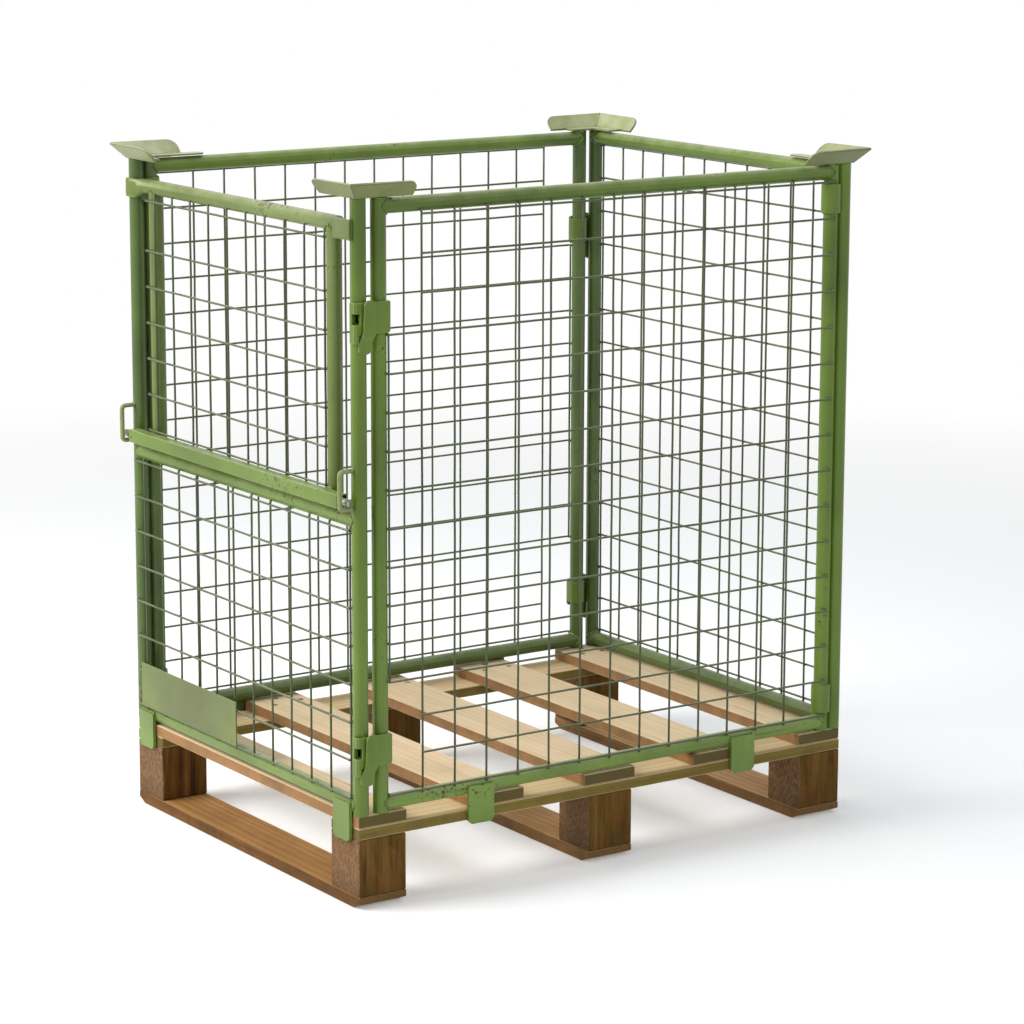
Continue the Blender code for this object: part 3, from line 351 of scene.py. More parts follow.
def block_material(name, seed):
    """Rough sawn block: streaked faces along its length painted dark as shade, speckled greyer faces
    across it painted light.
    """
    material = bpy.data.materials.new(name)
    g = Graph(material)
    coordinates = g.add("ShaderNodeTexCoord")
    shift = (seed * 0.531, seed * 0.277, seed * 0.193)
    moved = g.stretch(coordinates.outputs["Object"], (1, 1, 1), shift)
    across = g.step(g.math("ABSOLUTE", g.split(coordinates.outputs["Normal"])["X"]), 0.5, 0.8)
    streak = g.noise(g.stretch(moved, (1, 1, 0.10)), 75.0, 4.0, 0.6, 0.5)
    fine = g.noise(g.stretch(moved, (1, 1, 0.05)), 420.0, 3.0, 0.65)
    blotch = g.noise(moved, 13.0, 5.0, 0.65, 0.8)
    # Painted shade: the faces along the length get this dark streaked tone
    face = g.ramp(streak, [(0.28, (0.055, 0.024, 0.004)), (0.46, (0.130, 0.060, 0.010)),
                           (0.62, (0.200, 0.100, 0.022)), (0.80, (0.29, 0.16, 0.048))])
    face = g.cover(face, g.step(fine, 0.45, 0.75), 0.45, rgb(0.050, 0.027, 0.005))
    face = g.cover(face, g.step(blotch, 0.42, 0.62), 0.45, rgb(0.105, 0.084, 0.010))
    speck = g.noise(moved, 330.0, 5.0, 0.75)
    values = {"Vector": g.stretch(moved, (1, 1, 0.5)), "Scale": 420.0, "Randomness": 1.0}
    chip = g.split(g.add("ShaderNodeTexVoronoi", values, feature="F1").outputs["Color"])["X"]
    # Painted light: the faces across get this lighter speckled tone
    speckled_lit_face = g.ramp(g.math("ADD", g.math("MULTIPLY", speck, 0.75), g.math("MULTIPLY", chip, 0.25)),
                        [(0.25, (0.085, 0.045, 0.018)), (0.50, (0.215, 0.125, 0.062)),
                         (0.75, (0.35, 0.22, 0.125))])
    speckled_lit_face = g.cover(speckled_lit_face, g.step(blotch, 0.42, 0.70), 0.55, rgb(0.15, 0.085, 0.040))
    tone = g.mix(across, face, speckled_lit_face)
    warm = g.step(g.noise(moved, 11.0, 4.0, 0.7, 1.2), 0.50, 0.68)
    tone = g.cover(tone, warm, 0.60, rgb(0.235, 0.098, 0.022))
    foot = g.step(g.split(coordinates.outputs["Object"])["Z"], 0.045, 0.012)
    tone = g.cover(tone, foot, g.math("MULTIPLY", blotch, 0.7), rgb(0.035, 0.020, 0.007))
    crack = g.step(g.noise(g.stretch(moved, (1, 1, 0.06)), 60.0, 2.0), 0.69, 0.73)
    tone = g.cover(tone, crack, 0.75, rgb(0.015, 0.009, 0.004))
    relief = g.bump(streak, 0.45, 0.0012)
    relief = g.bump(speck, 0.40, 0.0008, relief)
    relief = g.bump(crack, 0.6, 0.0015, relief)
    relief.node.invert = True
    rough = g.math("ADD", g.math("MULTIPLY", speck, 0.2), 0.68)
    g.surface(tone, rough, relief, 0.0, IOR=1.45, Specular_IOR_Level=0.2)
    return material


GREEN = (0.114, 0.194, 0.016)
paint = paint_material("green_paint_coat", GREEN)
# Lighter copy of the green for the rounded arrises: wear, and a painted highlight along the edges
edge_wear_highlight_paint = paint_material("green_edge_wear_highlight", tint(GREEN, 1.35, 0.02), worn=0.55, seed=3.1)
# Darker green for the wires: painted shade on the thin wires
wire_shade_paint = paint_material("green_wire_coat", (0.066, 0.090, 0.031), worn=0.12, seed=5.7)
# Lighter copy of the green: painted light on the front and left bottom rails
lit_rail_paint = paint_material("green_lit_rail_coat", tint(GREEN, 1.22, 0.012), worn=0.2, seed=4.4)
# Darker copy of the green: painted shade on the back posts and the right and back bottom rails
back_shade_paint = paint_material("green_back_shade_coat", (0.082, 0.140, 0.026), worn=0.15, seed=2.6, dusty=0.30)
gate_paint = paint_material("green_gate_coat", (0.122, 0.176, 0.026), worn=0.18, seed=1.3, dusty=0.38)
plate_paint = paint_material("green_plate_coat", (0.130, 0.166, 0.026), worn=0.1, seed=7.2)
weld_paint = paint_material("green_weld_coat", tint(GREEN, 0.92), worn=0.30, seed=8.3)
corner_paint = paint_material("green_corner_coat", (0.235, 0.275, 0.095), worn=0.34, seed=6.1,
                              dusty=0.80)
corner_edge = paint_material("green_corner_edge", (0.12, 0.14, 0.05), worn=0.95, seed=9.4)
rod_steel = steel_material("rod_worn_steel")
nail_steel = steel_material("nail_dull_steel", seed=4.2, paint_left=0.0, rusty=0.22)


# Building pieces

SMOOTH_BELOW = 32.0


def make_piece(name, shape, body, materials, angle=30.0):
    """The shape as an object that rides on a body, smooth but for edges sharper than the angle."""
    mesh = bpy.data.meshes.new(name)
    bmesh.ops.recalc_face_normals(shape, faces=shape.faces)
    shape.to_mesh(mesh)
    shape.free()
    for material in materials:
        mesh.materials.append(material)
    mesh.shade_smooth()
    mesh.set_sharp_from_angle(angle=math.radians(angle))
    item = bpy.data.objects.new(name, mesh)
    bpy.context.scene.collection.objects.link(item)
    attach(item, body)
    return item


def refine(node, width, materials, segments=2, reshape=None):
    """A finer copy of a solid: facets joined, arrises rounded, and the round parts shaded smooth."""
    shape = bmesh.new()
    shape.from_mesh(nodes[node].data)
    bmesh.ops.remove_doubles(shape, verts=shape.verts, dist=4e-6)
    bmesh.ops.dissolve_limit(shape, angle_limit=math.radians(0.4), verts=shape.verts, edges=shape.edges)
    if reshape:
        reshape(node, shape)
    item = make_piece(node + "_coat", shape, body_of[node], materials, SMOOTH_BELOW)
    if width:
        bevelled(item, width, segments, 1 if len(materials) > 1 else -1, SMOOTH_BELOW)
    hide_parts(node)


def bevelled(item, width, segments=2, material=-1, angle=40.0):
    """Rounds the sharp arrises of a piece, in another of its materials if one is given."""
    bevel = item.modifiers.new("arris", "BEVEL")
    bevel.width = width
    bevel.segments = segments
    bevel.limit_method = "ANGLE"
    bevel.angle_limit = math.radians(angle)
    bevel.harden_normals = True
    bevel.material = material
    bpy.context.view_layer.update()
    changed = item.evaluated_get(bpy.context.evaluated_depsgraph_get())
    finished = bpy.data.meshes.new_from_object(changed)
    item.modifiers.clear()
    item.data = finished


def side_of(direction):
    side = direction.cross(Z)
    if side.length < 1e-6:
        side = X.copy()
    side.normalize()
    return side, side.cross(direction).normalized()


def join_rings(shape, first, second):
    """Faces between two rings of as many points."""
    for k in range(len(first)):
        j = (k + 1) % len(first)
        shape.faces.new((first[k], first[j], second[j], second[k]))


def sweep(shape, points, radii, sides, closed=False):
    """A round section carried along points, its frame turned as little as the path allows."""
    count = len(points)
    rings = []
    side = None
    for i, point in enumerate(points):
        ahead = points[(i + 1) % count] if closed or i + 1 < count else point
        behind = points[i - 1] if closed or i else point
        direction = (ahead - behind).normalized()
        if side is None:
            side = side_of(direction)[0]
        side = (side - direction * side.dot(direction)).normalized()
        up = side.cross(direction)
        ring = []
        for k in range(sides):
            turn = 2 * math.pi * (k + 0.5) / sides
            reach = (side * math.cos(turn) + up * math.sin(turn)) * radii[i]
            ring.append(shape.verts.new(point + reach))
        rings.append(ring)
    for first, second in zip(rings, rings[1:] + ([rings[0]] if closed else [])):
        join_rings(shape, first, second)
    if not closed:
        shape.faces.new(list(reversed(rings[0])))
        shape.faces.new(rings[-1])


def bead(shape, points, radius, closed=False, sides=8):
    """A weld bead: a rippled, slightly uneven rib that tapers where it stops."""
    radii = []
    last = len(points) - 1
    for i in range(len(points)):
        size = radius * (1 + BEAD_RIPPLE * math.sin(i * 1.9) + chance.uniform(-0.08, 0.08))
        if not closed:
            size *= min(1.0, 0.45 + 0.35 * min(i, last - i))
        radii.append(size)
    sweep(shape, points, radii, sides, closed)


def nugget(shape, spot, radii, axes):
    """A small flattened lump of weld."""
    result = bmesh.ops.create_icosphere(shape, subdivisions=1, radius=1.0)
    size = [r * chance.uniform(0.88, 1.12) for r in radii]
    for vert in result["verts"]:
        co = vert.co
        vert.co = spot + axes[0] * co.x * size[0] + axes[1] * co.y * size[1] + axes[2] * co.z * size[2]


def saddle(foot, direction):
    """The line, a little lifted, where a tube leaving foot along direction meets a crossing tube."""
    steps = 34
    lift = 0.0010
    points = []
    across = direction.cross(Z) if abs(direction.z) < 0.5 else Y.cross(direction)
    across.normalize()
    level = across.cross(direction)
    for i in range(steps):
        turn = 2 * math.pi * i / steps
        offset = across * math.cos(turn) * TUBE + level * math.sin(turn) * TUBE
        reach = math.sqrt(max(TUBE ** 2 - offset.dot(across) ** 2, 0.0))
        points.append(foot + offset * (1 + lift * 0.4 / TUBE) + direction * (reach + lift * 0.55))
    return points


# Wire meshes

def wire(shape, start, end):
    """A wire with slightly uneven bends and rounded ends."""
    steps = max(2, int((end - start).length / WIRE_STEP))
    direction = (end - start).normalized()
    side, up = side_of(direction)
    points = []
    for i in range(steps + 1):
        drift = (side * chance.uniform(-WIRE_WANDER, WIRE_WANDER)
                 + up * chance.uniform(-WIRE_WANDER, WIRE_WANDER))
        points.append(start.lerp(end, i / steps) + (drift if 0 < i < steps else Vector()))
    rounding = direction * WIRE * 0.45
    points = [points[0], points[0] + rounding] + points[1:-1] + [points[-1] - rounding, points[-1]]
    radii = [WIRE * 0.62] + [WIRE] * (steps + 1) + [WIRE * 0.62]
    sweep(shape, points, radii, 10)


def mesh_piece(node, columns, rows, spot, seats):
    """Round wires with a weld at every crossing and a tack wherever a wire lands on a tube."""
    shape = bmesh.new()
    out = (spot(0, 0, 1.0) - spot(0, 0, 0.0)).normalized()
    along = (spot(1.0, 0, 0) - spot(0, 0, 0)).normalized()
    for place, low, high in columns:
        wire(shape, spot(place, low, UPRIGHT_OUT), spot(place, high, UPRIGHT_OUT))
    for height, start, end in rows:
        wire(shape, spot(start, height, ROW_OUT), spot(end, height, ROW_OUT))
    for place, low, high in columns:
        for height, start, end in rows:
            if low <= height <= high and start <= place <= end:
                crossing = spot(place, height, (ROW_OUT + UPRIGHT_OUT) / 2)
                nugget(shape, crossing, CROSSING_LUMP, (along, Z, out))
    for place, height, distance in seats:
        nugget(shape, spot(place, height, distance), SEAT_LUMP, (along, Z, out))
    item = make_piece(node + "_wires", shape, body_of[node], [wire_shade_paint], 50.0)
    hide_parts(node)


def even(first, last, pitch):
    """Places from first on at an even pitch, none of them past last."""
    return [first + pitch * i for i in range(int((last - first) / pitch + 1e-6) + 1)]


def rows_below(rail):
    """Heights of a full panel's rows, the first of them tacked under the top rail."""
    return [rail - TUBE - GAP - ROW_SEAT - PITCH_UP * i for i in range(16)]


def upright_end():
    """How far short of a rail's axis an upright stops."""
    return GAP + math.sqrt(TUBE_CORNER ** 2 - (UPRIGHT_OUT - WIRE) ** 2)


def upright_seats(places, low, high):
    """Tacks where the uprights land on the rails above and below."""
    heights = (high - WELD_SHIFT, low + WELD_SHIFT)
    return [(place, z, UPRIGHT_OUT - WELD_SHIFT) for place in places for z in heights]


def long_mesh(side):
    """Mesh of a long panel, whose edge upright is shorter and leaves room for the latch straps."""
    turn = 1 if side == "front" else -1
    left = -abs(centre(side + "_latch_post").x)
    right = abs(centre(side + "_sleeve_post").x)
    y = abs(centre(side + "_latch_post").y)
    rail = centre(side + "_top_rail").z
    low, high = BOTTOM_RAIL + upright_end(), rail - upright_end()
    heights = rows_below(rail)
    edge, *places = even(left + EDGE_WIRE_OFFSET, right - FAR_MARGIN, PITCH_ACROSS)
    columns = [(x, low, high) for x in places]
    columns.append((edge, heights[12] - WIRE, heights[3] + WIRE))
    rows = []
    seats = []
    for number, height in enumerate(heights):
        short = number < 3 or 12 < number < 15
        start = (places[0] if short else edge) - 2 * WIRE
        rows.append((height, start, right))
        seats.append((right - 0.0012, height, TUBE + WELD_SHIFT))
        if not short:
            seats.append((edge - 0.0012, height, UPRIGHT_OUT - 0.001))
    seats += upright_seats(places, low, high)

    def spot(place, height, out):
        return Vector((turn * place, turn * (-y - out), height))

    mesh_piece(side + "_mesh", columns, rows, spot, seats)


def end_mesh(node, out, reach, lap, heights, low, high, tube_y):
    """Mesh of an end panel or the gate. The first upright stands beside the latch-side tube."""
    places = even(-tube_y + EDGE_WIRE_OFFSET, reach, PITCH_ACROSS)
    columns = [(place, low, high) for place in places]
    rows = [(z, places[0] - 2 * WIRE, lap) for z in heights]
    seats = []
    for z in heights:
        seats.append((lap - 0.0015, z, TUBE + WELD_SHIFT))
        seats.append((places[0] - 0.0012, z, UPRIGHT_OUT - 0.001))
    seats += upright_seats(places, low, high)

    def spot(place, height, distance):
        return Vector((out * (POST_X + distance), -out * place, height))

    mesh_piece(node, columns, rows, spot, seats)


def build_meshes():
    """All five meshes, set out from the same rails and posts as the solids."""
    long_mesh("front")
    long_mesh("back")
    low = BOTTOM_RAIL + upright_end()
    top = centre("right_top_rail").z
    reach, lap = POST_Y - 2 * TUBE, POST_Y - 0.002
    end_mesh("right_mesh", 1, reach, lap, rows_below(top), low, top - upright_end(), POST_Y)
    middle = centre("left_middle_rail").z
    edge_row = middle - TUBE - GAP - ROW_SEAT
    foot = box("left_front_post")[0].z
    heights = even(foot + LEFT_FIRST_ROW, edge_row - PITCH_UP / 2, PITCH_UP) + [edge_row]
    end_mesh("left_mesh", -1, reach, lap, heights, low, middle - upright_end(), POST_Y)
    rail_z = box("gate_frame")[1].z - TUBE
    axis_z = centre("gate_bottom_rail").z
    stile_y = POST_Y - GATE_STILE_INSET
    heights = [rail_z - GATE_TOP_ROW]
    z = heights[0] - GATE_SECOND_ROW
    while z >= axis_z + GATE_SILL_TOP + GAP + WIRE - 1e-6:
        heights.append(z)
        z -= PITCH_UP
    end_mesh("gate_mesh", -1, stile_y - TUBE, stile_y + TUBE, heights,
             axis_z - GATE_SILL_TOP / 2, rail_z - upright_end(), stile_y)


build_meshes()


# Tubes, fittings and the welds between them

def round_strap_end(node, shape):
    """Round the upright outer corner where the strap bends back to the long panel's post."""
    post = centre(body_of[node].split("_")[0] + "_latch_post")
    low, high = box(node)
    away = -math.copysign(1, post.x)
    front = low.y if post.y < 0 else high.y
    edge_x = high.x if away > 0 else low.x
    corner = [edge for edge in shape.edges
              if all(abs(v.co.x - edge_x) < 1e-4 and abs(v.co.y - front) < 1e-4 for v in edge.verts)]
    bmesh.ops.bevel(shape, geom=corner, offset=STRAP_CORNER, offset_type="OFFSET", segments=7,
                    profile=0.5, affect="EDGES")


def tongue_spot(side, x, depth, z):
    """A point by the tongue's post: x across the plate, depth outward from the post's axis."""
    turn = 1 if side == "left" else -1
    post = centre("left_front_post" if side == "left" else "right_back_post")
    return Vector((post.x + turn * x, post.y - turn * depth, z))


def between(knots, place):
    """Smooth curve through (place, value) knots."""
    for (a, first), (b, second) in zip(knots, knots[1:]):
        if place <= b:
            share = min(1.0, max(0.0, (place - a) / (b - a)))
            return first + (second - first) * share * share * (3 - 2 * share)
    return knots[-1][1]


def build_tongue(node):
    """Latch tongue: a foot on the post, a bend outward, a plate with a round end before the strap."""
    side = node.split("_")[0]
    base = box(node)[0].z
    middle = [(0.0, 0.0022), (0.0078, 0.0026), (0.034, 0.0068), (0.070, 0.0072)]
    width = [(0.0, 0.0116), (0.0012, 0.0160), (0.0032, 0.0188), (0.0058, 0.0200), (0.0208, 0.0194),
             (0.036, 0.0184), (TONGUE_CAP_CENTRE, 2 * TONGUE_CAP)]
    depth = [(0.0, TUBE + GAP), (0.0150, TUBE + GAP), (0.0240, 0.0150), (0.070, 0.0150)]
    places = [0.0, 0.0012, 0.0032, 0.0058, 0.0085, 0.0115]
    places += [0.0150 + 0.0015 * i for i in range(7)]
    places += [0.0275, 0.031, 0.035, 0.040, 0.046, 0.053, TONGUE_CAP_CENTRE]
    rows = [(t, between(width, t) / 2) for t in places]
    for degrees in (18, 36, 54, 72):
        turn = math.radians(degrees)
        rows.append((TONGUE_CAP_CENTRE + TONGUE_CAP * math.sin(turn), TONGUE_CAP * math.cos(turn)))
    shape = bmesh.new()
    rings = []
    for t, half in rows:
        mid, out = between(middle, t), between(depth, t)
        left, right, face = mid - half, mid + half, out + TONGUE_SHEET
        corners = ((left, out), (right, out), (right, face), (left, face))
        rings.append([shape.verts.new(tongue_spot(side, x, deep, base + t)) for x, deep in corners])
    for first, second in zip(rings, rings[1:]):
        join_rings(shape, first, second)
    shape.faces.new(rings[0])
    shape.faces.new(list(reversed(rings[-1])))
    item = make_piece(node + "_coat", shape, body_of[node], [paint, edge_wear_highlight_paint], 34.0)
    bevelled(item, 0.0007, 3, 1)
    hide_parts(node)


# Tubes whose paint isn't the plain one: a lighter copy of the green as painted light on the front and
# left bottom rails, a darker copy as painted shade on the back posts and the right and back bottom
# rails
TUBE_PAINTS = {
    "gate_frame": gate_paint,
    "front_bottom_rail": lit_rail_paint,
    "left_bottom_rail": lit_rail_paint,
    "right_bottom_rail": back_shade_paint,
    "back_bottom_rail": back_shade_paint,
    "left_back_post": back_shade_paint,
    "right_back_post": back_shade_paint,
    "back_sleeve_post": back_shade_paint,
    "back_latch_post": back_shade_paint,
}

for node in nodes:
    tube = node.endswith(("_post", "_rail")) and node != "gate_bottom_rail"
    if tube or node == "gate_frame":
        refine(node, 0.0, [TUBE_PAINTS.get(node, paint), edge_wear_highlight_paint])
    elif "strap" in node:
        refine(node, 0.0007, [paint, edge_wear_highlight_paint], 3, reshape=round_strap_end)
    elif "tongue" in node:
        build_tongue(node)
    elif "sleeve" in node:
        refine(node, 0.0004, [paint, edge_wear_highlight_paint], 2)
    elif "stacking_corner" in node:
        refine(node, 0.0008, [corner_paint, corner_edge], 3)
    elif node == "gate_bottom_rail":
        refine(node, 0.0012, [paint, edge_wear_highlight_paint], 3)
    elif node == "left_blank_plate":
        refine(node, 0.0005, [plate_paint, edge_wear_highlight_paint], 3)
    elif "gate_loop" in node:
        refine(node, 0.0, [corner_paint])
    elif node == "gate_hinge_rod":
        refine(node, 0.0008, [rod_steel], 2)


def open_loop(points, away, left_out):
    """The loop without the stretch that lies furthest along away."""
    start = max(range(len(points)), key=lambda i: points[i].dot(away))
    turned = points[start:] + points[:start]
    return turned[left_out:len(turned) - left_out]


def weld_rail_ends(shape, rail, posts):
    """Fillets round a rail's two ends. One stays open where a lifted sleeve passes it."""
    level = centre(rail).z if "bottom" not in rail else BOTTOM_RAIL
    first, second = (centre(p) for p in posts)
    first, second = Vector((first.x, first.y, level)), Vector((second.x, second.y, level))
    along = (second - first).normalized()
    near = saddle(first, along)
    if rail == "right_top_rail":
        bead(shape, open_loop(near, -X, 6), RAIL_BEAD)
    else:
        bead(shape, near, RAIL_BEAD, closed=True)
    bead(shape, saddle(second, -along), RAIL_BEAD, closed=True)


def weld_plate_line(shape, start, end, radius):
    """A straight bead."""
    steps = max(4, int((end - start).length / BEAD_STEP))
    points = [start.lerp(end, i / steps) for i in range(steps + 1)]
    bead(shape, points, radius, sides=7)


def weld_lugs(shape, centre_line, out, places, along):
    """A bead over the upper edge of each locating lug."""
    half = along * LUG_WELD / 2
    for place in places:
        top = centre_line + along * place + out * (TUBE + 0.0006) + Z * 0.0046
        weld_plate_line(shape, top - half, top + half, LUG_BEAD)


def bead_round(shape, axis, height, reach, radius, turns):
    """A bead on a post, through the given angles round its axis."""
    middle = Vector((axis.x, axis.y, height))
    points = [middle + Vector((math.cos(turn), math.sin(turn), 0)) * reach for turn in turns]
    bead(shape, points, radius, sides=7)


def post_top_welds(shape, post, inward):
    """Three quarters of a bead under the corner seat, open on its inner side."""
    low, high = box(post)
    start = math.atan2(inward.y, inward.x)
    turns = [start + math.pi * (0.25 + 1.5 * i / 21) + math.pi / 2 for i in range(22)]
    bead_round(shape, (low + high) / 2, high.z - 0.0012, TUBE + 0.0006, CAP_BEAD, turns)


def weld_piece(name, shape, body):
    make_piece(name, shape, body, [weld_paint], 60.0)


def build_long_panel_welds():
    for side, sign, first_turn in (("front", -1, -100), ("back", 1, 80)):
        shape = bmesh.new()
        posts = (side + "_latch_post", side + "_sleeve_post")
        weld_rail_ends(shape, side + "_top_rail", posts)
        weld_rail_ends(shape, side + "_bottom_rail", posts)
        middle = (centre(posts[0]) + centre(posts[1])) / 2
        weld_lugs(shape, Vector((middle.x, sign * POST_Y, BOTTOM_RAIL)), Y * sign, LONG_LUGS, X)
        for post in posts:
            post_top_welds(shape, post, Vector((-math.copysign(1, centre(post).x), -sign, 0)))
        latch_x = centre(posts[0]).x
        toward = math.copysign(1, latch_x)
        for level in ("upper", "lower"):
            low, high = box("%s_latch_strap_%s" % (side, level))
            inner = latch_x - toward * 0.0098
            face = sign * (POST_Y + 0.0088)
            ends = [Vector((inner, face, high.z - drop)) for drop in (0.038, 0.003)]
            weld_plate_line(shape, *ends, STRAP_BEAD)
            sleeve = box("%s_sleeve_%s" % (side, level))
            turns = [math.radians(first_turn - 110 * i / 19) for i in range(20)]
            for z in (sleeve[0].z - WELD_SHIFT, sleeve[1].z + WELD_SHIFT):
                bead_round(shape, centre(posts[1]), z, TUBE + 0.0013, SLEEVE_BEAD, turns)
        weld_piece(side + "_welds", shape, body_of[posts[0]])


def build_end_panel_welds():
    deep = TUBE + 0.0012
    lug_y = POST_Y - END_LUG_INSET
    for side, sign in (("left", -1), ("right", 1)):
        shape = bmesh.new()
        posts = (side + "_front_post", side + "_back_post")
        weld_rail_ends(shape, side + ("_middle_rail" if side == "left" else "_top_rail"), posts)
        weld_rail_ends(shape, side + "_bottom_rail", posts)
        weld_lugs(shape, Vector((sign * POST_X, 0, BOTTOM_RAIL)), X * sign, (-lug_y, lug_y), Y)
        for level in ("upper", "lower"):
            foot = box("%s_tongue_%s" % (side, level))[0].z
            for x1, rise1, x2, rise2, radius in TONGUE_BEADS:
                weld_plate_line(shape, tongue_spot(side, x1, deep, foot + rise1),
                                tongue_spot(side, x2, deep, foot + rise2), radius)
        weld_piece(side + "_welds", shape, body_of[posts[0]])


def build_gate_welds():
    shape = bmesh.new()
    rail_z = box("gate_frame")[1].z - TUBE
    low, high = box("gate_bottom_rail")
    for stile in (GATE_STILE_INSET - POST_Y, POST_Y - GATE_STILE_INSET):
        bead(shape, saddle(Vector((-POST_X, stile, rail_z)), -Z), STILE_BEAD, closed=True)
        for z in (low.z + 0.0015, high.z + WELD_SHIFT):
            ends = [Vector((-POST_X - TUBE - 0.0002, stile + shift, z)) for shift in (-0.007, 0.007)]
            weld_plate_line(shape, *ends, SILL_BEAD)
    weld_piece("gate_welds", shape, "gate")


def build_fitting_welds():
    """Tacks of the gate's loops and of the blank plate."""
    shape = bmesh.new()
    for node in ("left_gate_loop_front", "left_gate_loop_back"):
        low, high = box(node)
        for z in (low.z + 0.0032, high.z - 0.0032):
            tack = Vector((-POST_X - TUBE - WELD_SHIFT, (low.y + high.y) / 2, z))
            nugget(shape, tack, LOOP_LUMP, (X, Y, Z))
    low, high = box("left_blank_plate")
    for y_tack in (low.y + 0.012, high.y - 0.012):
        for z in (low.z + 0.004, high.z - 0.004):
            nugget(shape, Vector((low.x + WELD_SHIFT, y_tack, z)), PLATE_LUMP, (X, Y, Z))
    weld_piece("left_fitting_welds", shape, "left_end")


build_long_panel_welds()
build_end_panel_welds()
build_gate_welds()
build_fitting_welds()


def ribbon(shape, path, thickness, spans):
    """Upright sheet bent along a path, with its own thickness and closed ends."""
    sheets = []
    for side in (-0.5, 0.5):
        row = []
        for i, point in enumerate(path):
            ahead = path[min(i + 1, len(path) - 1)]
            behind = path[max(i - 1, 0)]
            normal = (ahead - behind).normalized().cross(Z)
            foot = point + normal * thickness * side
            low, high = spans[i]
            row.append([shape.verts.new((foot.x, foot.y, z)) for z in (low, high)])
        sheets.append(row)
    inner, outer = sheets
    for i in range(len(path) - 1):
        for row in sheets:
            shape.faces.new((row[i][0], row[i + 1][0], row[i + 1][1], row[i][1]))
        for k in (0, 1):
            shape.faces.new((inner[i][k], inner[i + 1][k], outer[i + 1][k], outer[i][k]))
    for i in (0, len(path) - 1):
        shape.faces.new((inner[i][0], inner[i][1], outer[i][1], outer[i][0]))


def build_strap_wraps():
    """The tail of each latch strap, folded round the inner side of its post."""
    sheet = STRAP_TAIL_SHEET
    bend = 0.0054
    for side, sign in (("front", -1), ("back", 1)):
        shape = bmesh.new()
        post = centre(side + "_latch_post")
        away = -math.copysign(1, post.x)
        radius = TUBE + 0.0002 + sheet / 2
        for level in ("upper", "lower"):
            low, high = box("%s_latch_strap_%s" % (side, level))
            face = (abs(low.y) if sign < 0 else high.y) - sheet / 2 - abs(post.y) + 0.0001
            foot, head = high.z - 0.0400, high.z - 0.0004
            path = [Vector((0.0042, face, 0))]
            spans = [(foot, head)]
            for i in range(10):
                turn = math.radians(10 * i)
                path.append(Vector((radius - bend + bend * math.sin(turn),
                                    face - bend + bend * math.cos(turn), 0)))
                spans.append((foot + 0.0050 * (i / 9) ** 2, head - 0.0024 * (i / 9) ** 2))
            for i in range(25):
                turn = math.radians(205 * i / 24)
                path.append(Vector((radius * math.cos(turn), -radius * math.sin(turn), 0)))
                spans.append(spans[10])
            path = [Vector((post.x + away * p.x, post.y + sign * p.y, 0)) for p in path]
            ribbon(shape, path, sheet, spans)
        item = make_piece(side + "_strap_wraps", shape, side + "_panel", [paint], 40.0)
        bevelled(item, 0.0005)


def build_seat_legs():
    """Long legs of the corner seats over the rails beside the sleeve posts."""
    sheet = 0.0027
    half = 0.0095
    tip_radius = 0.006
    top = box("front_stacking_corner_right")[0].z + sheet + 0.0002
    across_x = (POST_X - half, POST_X + half)
    across_y = (POST_Y - half, POST_Y + half)
    legs = (("front_seat_leg_end", "front_panel", across_x, (-0.240, -0.182)),
            ("back_seat_leg_long", "back_panel", (-0.350, -0.287), across_y))
    for name, body, xs, ys in legs:
        shape = bmesh.new()
        along_x = xs[1] - xs[0] > ys[1] - ys[0]
        (root, tip), middle = (xs, POST_Y) if along_x else (ys, POST_X)
        points = []
        for i in range(9):
            turn = math.pi * (i / 8 - 0.5)
            points.append((tip + tip_radius * (math.cos(turn) - 1), middle + half * math.sin(turn)))
        points += [(root, middle + half), (root, middle - half)]
        if not along_x:
            points = [(across, along) for along, across in points]
        lower = [shape.verts.new((px, py, top - sheet)) for px, py in points]
        upper = [shape.verts.new((px, py, top)) for px, py in points]
        shape.faces.new(lower)
        shape.faces.new(list(reversed(upper)))
        join_rings(shape, lower, upper)
        item = make_piece(name, shape, body, [corner_paint], 30.0)
        bevelled(item, 0.0006)


build_strap_wraps()
build_seat_legs()


# Pallet

NAIL_HEAD = 0.0042
# The side and end colours below are painted shade on the upright faces and on the ends
SKID = dict(along="y", side_shade_tint=(0.50, 0.43, 0.34), end_grain_shade=(0.17, 0.10, 0.03), knots=0.8,
            stain=0.60, ring_depth=0.65)
TIMBER = {
    "deck": dict(along="y", pale=(0.80, 0.64, 0.42), deep=(0.58, 0.40, 0.21),
                 side_shade_tint=(0.52, 0.36, 0.24), end_grain_shade=(0.088, 0.080, 0.023), knots=1.0,
                 stain=0.18, ring_depth=0.30),
    "stringer": dict(along="x", pale=(0.78, 0.60, 0.35), deep=(0.52, 0.35, 0.15),
                     side_shade_tint=(0.325, 0.33, 0.125), end_grain_shade=(0.16, 0.11, 0.03), knots=0.7,
                     stain=0.25, ring_depth=0.45),
    # The middle and right skids take a lighter tone than the left one: painted light
    "skid": dict(SKID, pale=(0.68, 0.44, 0.22), deep=(0.40, 0.23, 0.09)),
    "skid_left": dict(SKID, pale=(0.47, 0.255, 0.092), deep=(0.225, 0.110, 0.032)),
}


def on_circle(radius, share, height=0.0):
    """The point at a share of a full turn round a level circle."""
    turn = 2 * math.pi * share
    return Vector((radius * math.cos(turn), radius * math.sin(turn), height))


def nail(shape, spot):
    """Flat nail head pressed a little into the board."""
    steps = 10
    rings = []
    for size, height in ((1.0, 0.00002), (0.96, 0.00045), (0.62, 0.00062)):
        ring = [spot + on_circle(NAIL_HEAD * size, k / steps, height) for k in range(steps)]
        rings.append([shape.verts.new(point) for point in ring])
    for first, second in zip(rings, rings[1:]):
        join_rings(shape, first, second)
    shape.faces.new(rings[-1])
    shape.faces.new(list(reversed(rings[0])))


